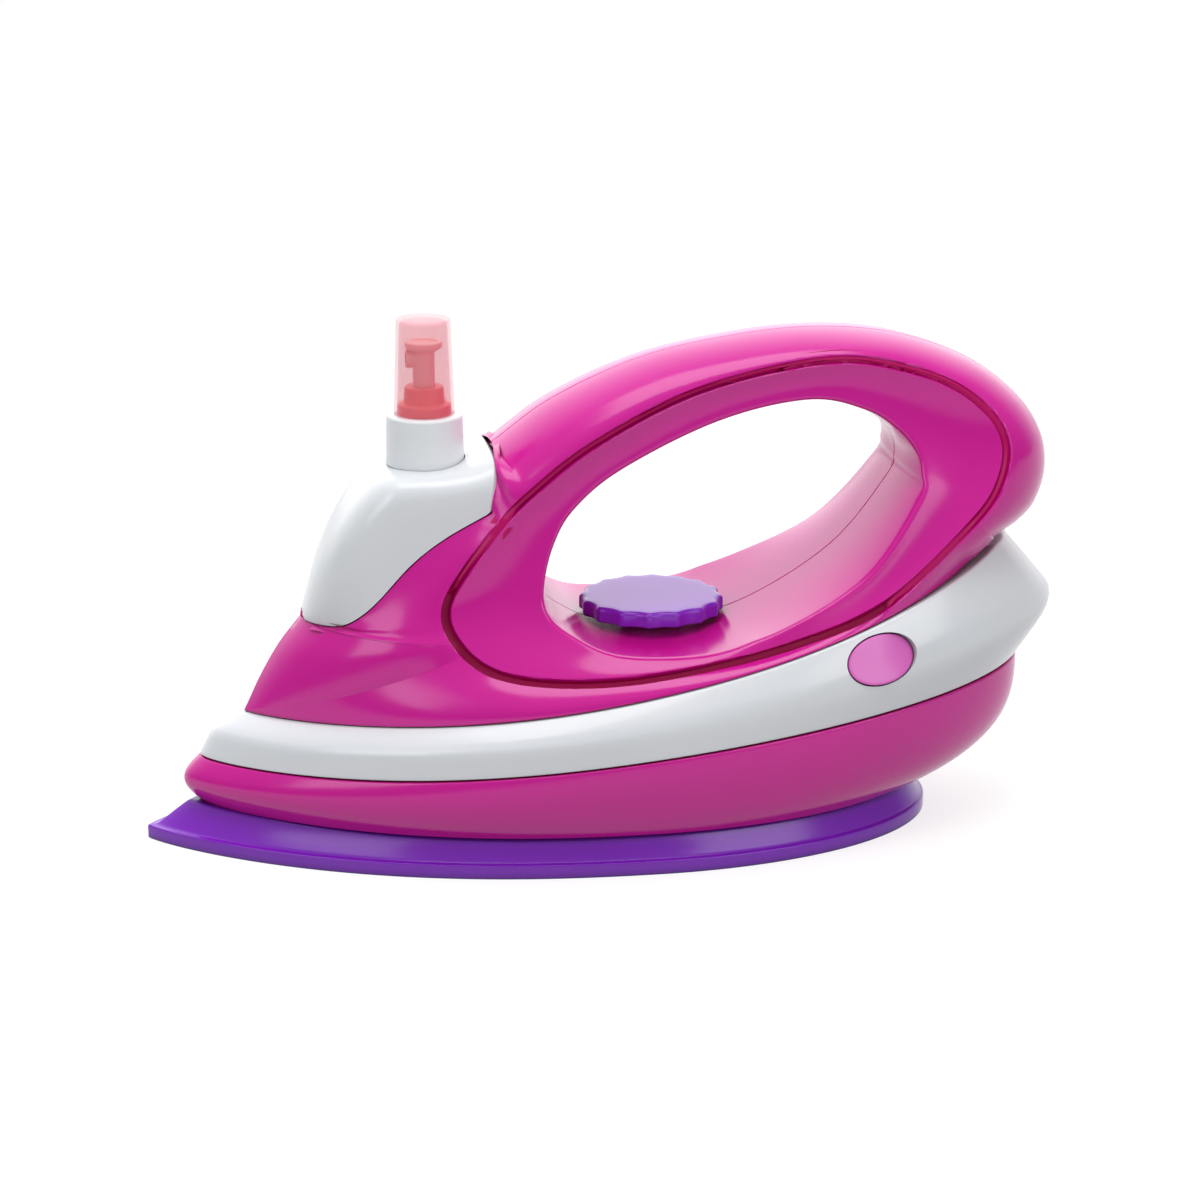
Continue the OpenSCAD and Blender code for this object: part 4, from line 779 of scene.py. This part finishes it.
def makeBulkhead():
    # closes the handle's front end, just behind the tank
    inset, deep = shell["headInset"], shell["headDeep"]
    top, foot = sideView(shell["crest"])[-1], diagonalLine[0]
    a = np.linspace(math.pi / 2, 0, shell["headSteps"])
    out, up = np.sin(a) ** (2 / shell["stepPower"]), np.cos(a) ** (2 / shell["stepPower"])
    arch = np.stack([lerp(top[0], foot[0], 2 * a / math.pi), (inset - stepHalf) * out,
                     lerp(foot[1], top[1] - inset, up)], -1)
    low = arch[0] - [0, 0, deep]
    near = np.concatenate([[low * [1, 0, 1], low], arch])
    near[-1, 1] = 0
    outline = np.concatenate([near, near[-2:0:-1] * [1, -1, 1]])
    rings = [outline + [inset, 0, 0], outline + [inset + shell["wall"], 0, 0]]
    addPiece("grip_bulkhead", np.concatenate(rings), loftFaces(rings, False),
             magentaAbs, "housing", "magenta_plastic")


makeShells()
makeBulkhead()
print("body shells made")

# Water tank: arches from the near edge over the ridge to the far edge, flat under the collar
tank = dict(
    ridge=[(0.170, 0.260), (0.178, 0.330), (0.190, 0.423), (0.207, 0.513), (0.228, 0.590), (0.250, 0.648),
           (0.272, 0.668), (0.318, 0.671), (0.349, 0.684), (0.3735, 0.712)],
    start=0.02, powers=[2.2, 3, 5, 7, 3.6], neck=67.9764, spot=89.9348, arches=70, sides=72, edge=1.2,
    tipShare=0.04, rearShift=0.3, collarGap=0.5, cutHeight=12)
tankRidge = sideView(tank["ridge"])


def tankArch(t, inset):
    e, r = openCurve(diagonalLine, 1 - t), openCurve(tankRidge, t)
    d = unit(r - e)
    e, r = e + d * (lines["seam"] + inset), r - d * inset
    half = max(tank["tipShare"] * stepHalf, tankEdgeHalf(1 - t) - inset)
    power = 2 / openCurve(np.array(tank["powers"]), t)
    a = np.linspace(0, math.pi, tank["sides"])
    out = np.sign(np.cos(a)) * np.abs(np.cos(a)) ** power
    p = lerp(e, r, (np.abs(np.sin(a)) ** power)[:, None])
    return np.stack([p[:, 0], -half * out, p[:, 1]], -1)


def makeTank():
    arches = [tankArch(t, 0) for t in lerp(tank["start"], 1, np.linspace(0, 1, tank["arches"]))]
    arches.append(tankArch(1, tank["edge"]) + [tank["edge"], 0, 0])
    for k in (-2, -1):
        arches[k] = arches[k] - [tank["rearShift"] * tank["edge"], 0, 0]
    arches = roundCorners(arches, [0] * (len(arches) - 2) + [tank["edge"], 0], False)
    faces = gridFaces(len(arches), tank["sides"]) + endFaces(len(arches), tank["sides"])
    piece = addPiece("tank_shell", np.concatenate(arches), faces,
                     whiteAbs, "housing", "white_plastic", "water_tank")
    combine(piece, [tool(*drum(collar["diameter"] + tank["collarGap"], tank["spot"],
                               tank["spot"] + tank["cutHeight"], atNeck(0)))])
    tidyMesh(piece)


# Sprayer: screw collar, snap ring, spray head and clear overcap, all round the neck's axis
collar = dict(diameter=18.4, height=11.8, hole=9, taper=0.25, wall=1.4, roof=1.6, lip=(0.6, 0.7),
              rounds=[0, 0.2, 0.7, 0.3, 0.2, 0, 0, 0])
ring = dict(flange=12.6, flangeHeight=2.4, turret=9.72, height=6.6, taper=0.3, stalkGap=0.06,
            rounds=[0, 0.2, 0.5, 0.3, 0.5, 0])
head = dict(pad=8.8, padThick=1.8, stalk=5.2, height=17.2, foot=6.4, neck=0.6, underIn=0.5, underRise=0.4,
            rimWidth=1.1, dishShare=0.6, dish=(0.35, 0.5), rounds=[0, 0.3, 0.8, 0.3, 0.3, 0.4, 0.3, 1, 0],
            nozzle=4.2, nozzleFrom=0.5, nozzleReach=4.2, nozzleDrop=2.3, nozzleSides=48)
cap = dict(foot=14.4, top=12.8, height=22.6, wall=0.8, rounds=[0, 0.5, 0.15, 0.25, 0.5, 0])
collarTop = tank["spot"] + collar["height"]


def atNeck(z):
    return Matrix.Translation((tank["neck"], 0, z))


def lathePiece(name, profile, radii, z, finish, body, slot, *nodes):
    points, faces = lathe(profile, radii)
    return addPiece(name, moved(points, atNeck(z)), faces, finish, body, slot, *nodes)


def makeSprayer():
    r, h, hole = collar["diameter"] / 2, collar["height"], collar["hole"] / 2
    inside, roof = r - collar["wall"], h - collar["roof"]
    profile = [(hole, h - collar["lip"][0]), (hole, h), (r - collar["taper"], h), (r, 0), (inside, 0),
               (inside, roof), (hole, roof), (hole, h - collar["lip"][1])]
    lathePiece("collar_cap", profile, collar["rounds"], tank["spot"],
               whitePp, "housing", "white_plastic", "spray_collar")
    s, f, turret = head["stalk"] / 2 + ring["stalkGap"], ring["flange"] / 2, ring["turret"] / 2
    profile = [(s, 0), (f, 0), (f, ring["flangeHeight"]), (turret, ring["flangeHeight"] + ring["taper"]),
               (turret - ring["taper"], ring["height"]), (s, ring["height"])]
    lathePiece("ring_turret", profile, ring["rounds"], collarTop,
               salmonPp, "housing", "salmon_plastic", "snap_ring")
    p, top, stalk = head["pad"] / 2, head["height"], head["stalk"] / 2
    under = top - head["padThick"]
    profile = [(nearAxis, head["foot"]), (stalk, head["foot"]), (stalk, under - head["neck"]),
               (p - head["underIn"], under), (p, under + head["underRise"]), (p, top),
               (p - head["rimWidth"], top), (head["dishShare"] * p, top - head["dish"][0]),
               (nearAxis, top - head["dish"][1])]
    piece = lathePiece("head_pad", profile, head["rounds"], collarTop,
                       palePp, "spray", "salmon_plastic", "spray_head")
    side = atNeck(collarTop + under - head["nozzleDrop"]) @ Matrix.Rotation(-math.pi / 2, 4, "Y")
    nozzle = drum(head["nozzle"], head["nozzleFrom"], head["nozzleReach"], side, head["nozzleSides"])
    combine(piece, [tool(*nozzle)], "UNION")
    tidyMesh(piece)
    a, b, h, w = cap["foot"] / 2, cap["top"] / 2, cap["height"], cap["wall"]
    profile = [(nearAxis, h - w), (b - w, h - w), (a - w, 0), (a, 0), (b, h), (nearAxis, h)]
    lathePiece("cap_shell", profile, cap["rounds"], collarTop, capPp, "cap", "cap_plastic", "overcap")


makeTank()
makeSprayer()
print("tank and sprayer made")

# Dial: hollow flutes meet in pointed ridges, with a bevel that follows them
dial = dict(diameter=34.6, thick=3.7, flutes=16, perFlute=24, depth=0.8, bevel=0.7,
            station=121.989, z=51.5446, spindle=6, spindleLength=6, chamfer=0.3, border=3, middle=0.02,
            rounds=[0, 0, 0, 0.2, 0.2, 0.35, 0.35, 0, 0])


def dialRim(sides):
    pitch = 2 * math.pi / dial["flutes"]
    chord = math.pi * dial["diameter"] / dial["flutes"]
    hollow = (chord ** 2 / 4 + dial["depth"] ** 2) / (2 * dial["depth"])
    centre = dial["diameter"] / 2 - dial["depth"] + hollow
    turn = np.linspace(0, 2 * math.pi, sides, endpoint=False)
    off = (turn + pitch / 2) % pitch - pitch / 2
    rim = centre * np.cos(off) - np.sqrt(hollow ** 2 - (centre * np.sin(off)) ** 2)
    return turn, np.minimum(rim, dial["diameter"] / 2)


def makeDial():
    sides = dial["flutes"] * dial["perFlute"]
    turn, rim = dialRim(sides)
    t, v, c = dial["thick"], dial["bevel"], dial["chamfer"]
    middle, spindle, foot = 0 * rim + dial["middle"], 0 * rim + dial["spindle"] / 2, -dial["spindleLength"]
    rows = [(middle, foot), (spindle, foot), (spindle, 0), (rim - c, 0), (rim, c),
            (rim, t - v), (rim - v, t), (rim - dial["border"], t), (middle, t)]
    rings = [np.stack([r * np.cos(turn), r * np.sin(turn), z + 0 * r], -1) for r, z in rows]
    rings = roundCorners(rings, dial["rounds"], False, 4)
    faces = gridFaces(len(rings), sides) + endFaces(len(rings), sides)
    points = np.concatenate(rings) + [dial["station"], 0, dial["z"]]
    addPiece("dial_knob", points, faces, dialAbs, "knob", "purple_plastic", "dial")


makeDial()
print("dial made")

# Pieces that keep their own shape get their finishes
nodeFinish = dict(
    neck_gasket=gasketFoam, pump_barrel=naturalPp, pump_piston=naturalPp, inlet_ball=zincSteel,
    dip_tube=naturalPp, nozzle_insert=naturalPp, dial_bush=naturalPp, dial_washer=zincSteel,
    dial_screw=zincSteel, circuit_board=boardLaminate, press_switch=blackPs, board_screws=zincSteel,
    loudspeaker=blackPs, battery_box=blackPs, cells=shrinkFilm, contact_plates=nickelSteel,
    contact_springs=nickelSteel, battery_door=purpleAbs, door_screw=zincSteel, shell_screws=zincSteel,
    base_screws=zincSteel)
for name, finish in nodeFinish.items():
    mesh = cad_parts[name].data
    mesh.materials.clear()
    mesh.materials.append(finish)

# Springs: the coils of the CAD, copied as they are with their own finish
springs = [dict(name="pump_coil", node="pump_spring", joint="spray_press", press=(0, 0, -1), stroke=4),
           dict(name="button_coil", node="button_spring", joint="button_press",
                press=(-0.25113, 0.90551, -0.34202), stroke=1.5)]


def makeSprings():
    for spring in springs:
        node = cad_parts[spring["node"]]
        piece = bpy.data.objects.new(spring["name"], node.data.copy())
        bpy.context.scene.collection.objects.link(piece)
        piece.matrix_world = node.matrix_world
        piece.data.materials.clear()
        piece.data.materials.append(nickelSteel)
        tidyMesh(piece)
        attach(piece, "housing")
        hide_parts(spring["node"])
        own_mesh(piece)


makeSprings()
print("springs made")

# Stage: pale floor, soft studio light and the camera at the photograph's angle
stage = dict(floor=8.0, floorColour="#a2a2a2", lift=0.72, horizon=0.2, zenith=0.65,
             backdrop=1.6, backdropFrom=0.2)


def makeFloor():
    half = stage["floor"] / 2
    mesh = bpy.data.meshes.new("floor")
    corners = [(-half, -half, 0), (half, -half, 0), (half, half, 0), (-half, half, 0)]
    mesh.from_pydata(corners, [], [(0, 1, 2, 3)])
    floor = bpy.data.objects.new("floor", mesh)
    bpy.context.scene.collection.objects.link(floor)
    finish = bpy.data.materials.new("paper_backdrop_matt")
    finish.use_nodes = True
    tree = finish.node_tree
    tree.nodes.clear()
    path = addNode(tree, "ShaderNodeLightPath")
    either = addNode(tree, "ShaderNodeMath", {"operation": "MAXIMUM"},
                     {0: path.outputs["Is Camera Ray"], 1: path.outputs["Is Glossy Ray"]})
    seen = addNode(tree, "ShaderNodeMath", {"operation": "MAXIMUM"},
                   {0: either.outputs[0], 1: path.outputs["Is Transmission Ray"]})
    lift = addNode(tree, "ShaderNodeMath", {"operation": "MULTIPLY", 1: stage["lift"]}, {0: seen.outputs[0]})
    paper = addNode(tree, "ShaderNodeBsdfDiffuse", {"Color": toLinear(stage["floorColour"])})
    glow = addNode(tree, "ShaderNodeEmission", None, {"Strength": lift.outputs[0]})
    both = addNode(tree, "ShaderNodeAddShader", None, {0: paper.outputs[0], 1: glow.outputs[0]})
    addNode(tree, "ShaderNodeOutputMaterial", None, {"Surface": both.outputs[0]})
    mesh.materials.append(finish)


def makeWorld():
    world = bpy.data.worlds.new("studio")
    bpy.context.scene.world = world
    world.use_nodes = True
    tree = world.node_tree
    # brighter overhead and towards the backdrop, as in a light tent
    toward = addNode(tree, "ShaderNodeTexCoord")
    parts = addNode(tree, "ShaderNodeSeparateXYZ", None, {0: toward.outputs["Generated"]})
    level = addNode(tree, "ShaderNodeMapRange", {"To Min": stage["horizon"], "To Max": stage["zenith"]},
                    {"Value": parts.outputs["Z"]})
    wall = addNode(tree, "ShaderNodeMapRange",
                   {"From Min": stage["backdropFrom"], "To Max": stage["backdrop"]},
                   {"Value": parts.outputs["Y"]})
    both = addNode(tree, "ShaderNodeMath", {"operation": "ADD"},
                   {0: level.outputs["Result"], 1: wall.outputs["Result"]})
    back = tree.nodes["Background"]
    back.inputs["Color"].default_value = (1, 1, 1, 1)
    tree.links.new(both.outputs[0], back.inputs["Strength"])


# place, aim, size across, watts
lamps = dict(
    topSoftbox=((0.0, -0.05, 0.95), (0, 0, 0.05), 0.6, 3.8),
    leftSoftbox=((-0.75, -0.55, 0.55), (0, 0, 0.06), 0.5, 2.0),
    frontSoftbox=((0.65, -0.85, 0.55), (0, 0, 0.06), 0.6, 3.0))


def makeLamps():
    for name, (place, aim, size, power) in lamps.items():
        lamp = bpy.data.lights.new(name, "AREA")
        lamp.size = size
        lamp.energy = power
        holder = bpy.data.objects.new(name, lamp)
        holder.location = place
        holder.rotation_euler = (Vector(aim) - Vector(place)).to_track_quat("-Z", "Y").to_euler()
        bpy.context.scene.collection.objects.link(holder)


# The camera was worked out from the sole's outline and the sprayer's axis
view = dict(place=(-10.695, -741.246, 278.009), elevation=16.6, yaw=9.217, focalPixels=3265, framePixels=1200)


def makeCamera():
    lens = bpy.data.cameras.new("camera")
    lens.sensor_width = 36
    lens.lens = view["focalPixels"] / view["framePixels"] * lens.sensor_width
    holder = bpy.data.objects.new("camera", lens)
    holder.location = (Vector(view["place"]) + Vector((tipX, 0, 0))) * mm
    holder.rotation_euler = (math.radians(90 - view["elevation"]), 0, -math.radians(view["yaw"]))
    bpy.context.scene.collection.objects.link(holder)
    bpy.context.scene.camera = holder


makeFloor()
makeWorld()
makeLamps()
makeCamera()
bpy.context.scene.view_settings.view_transform = "Standard"
print("stage set")
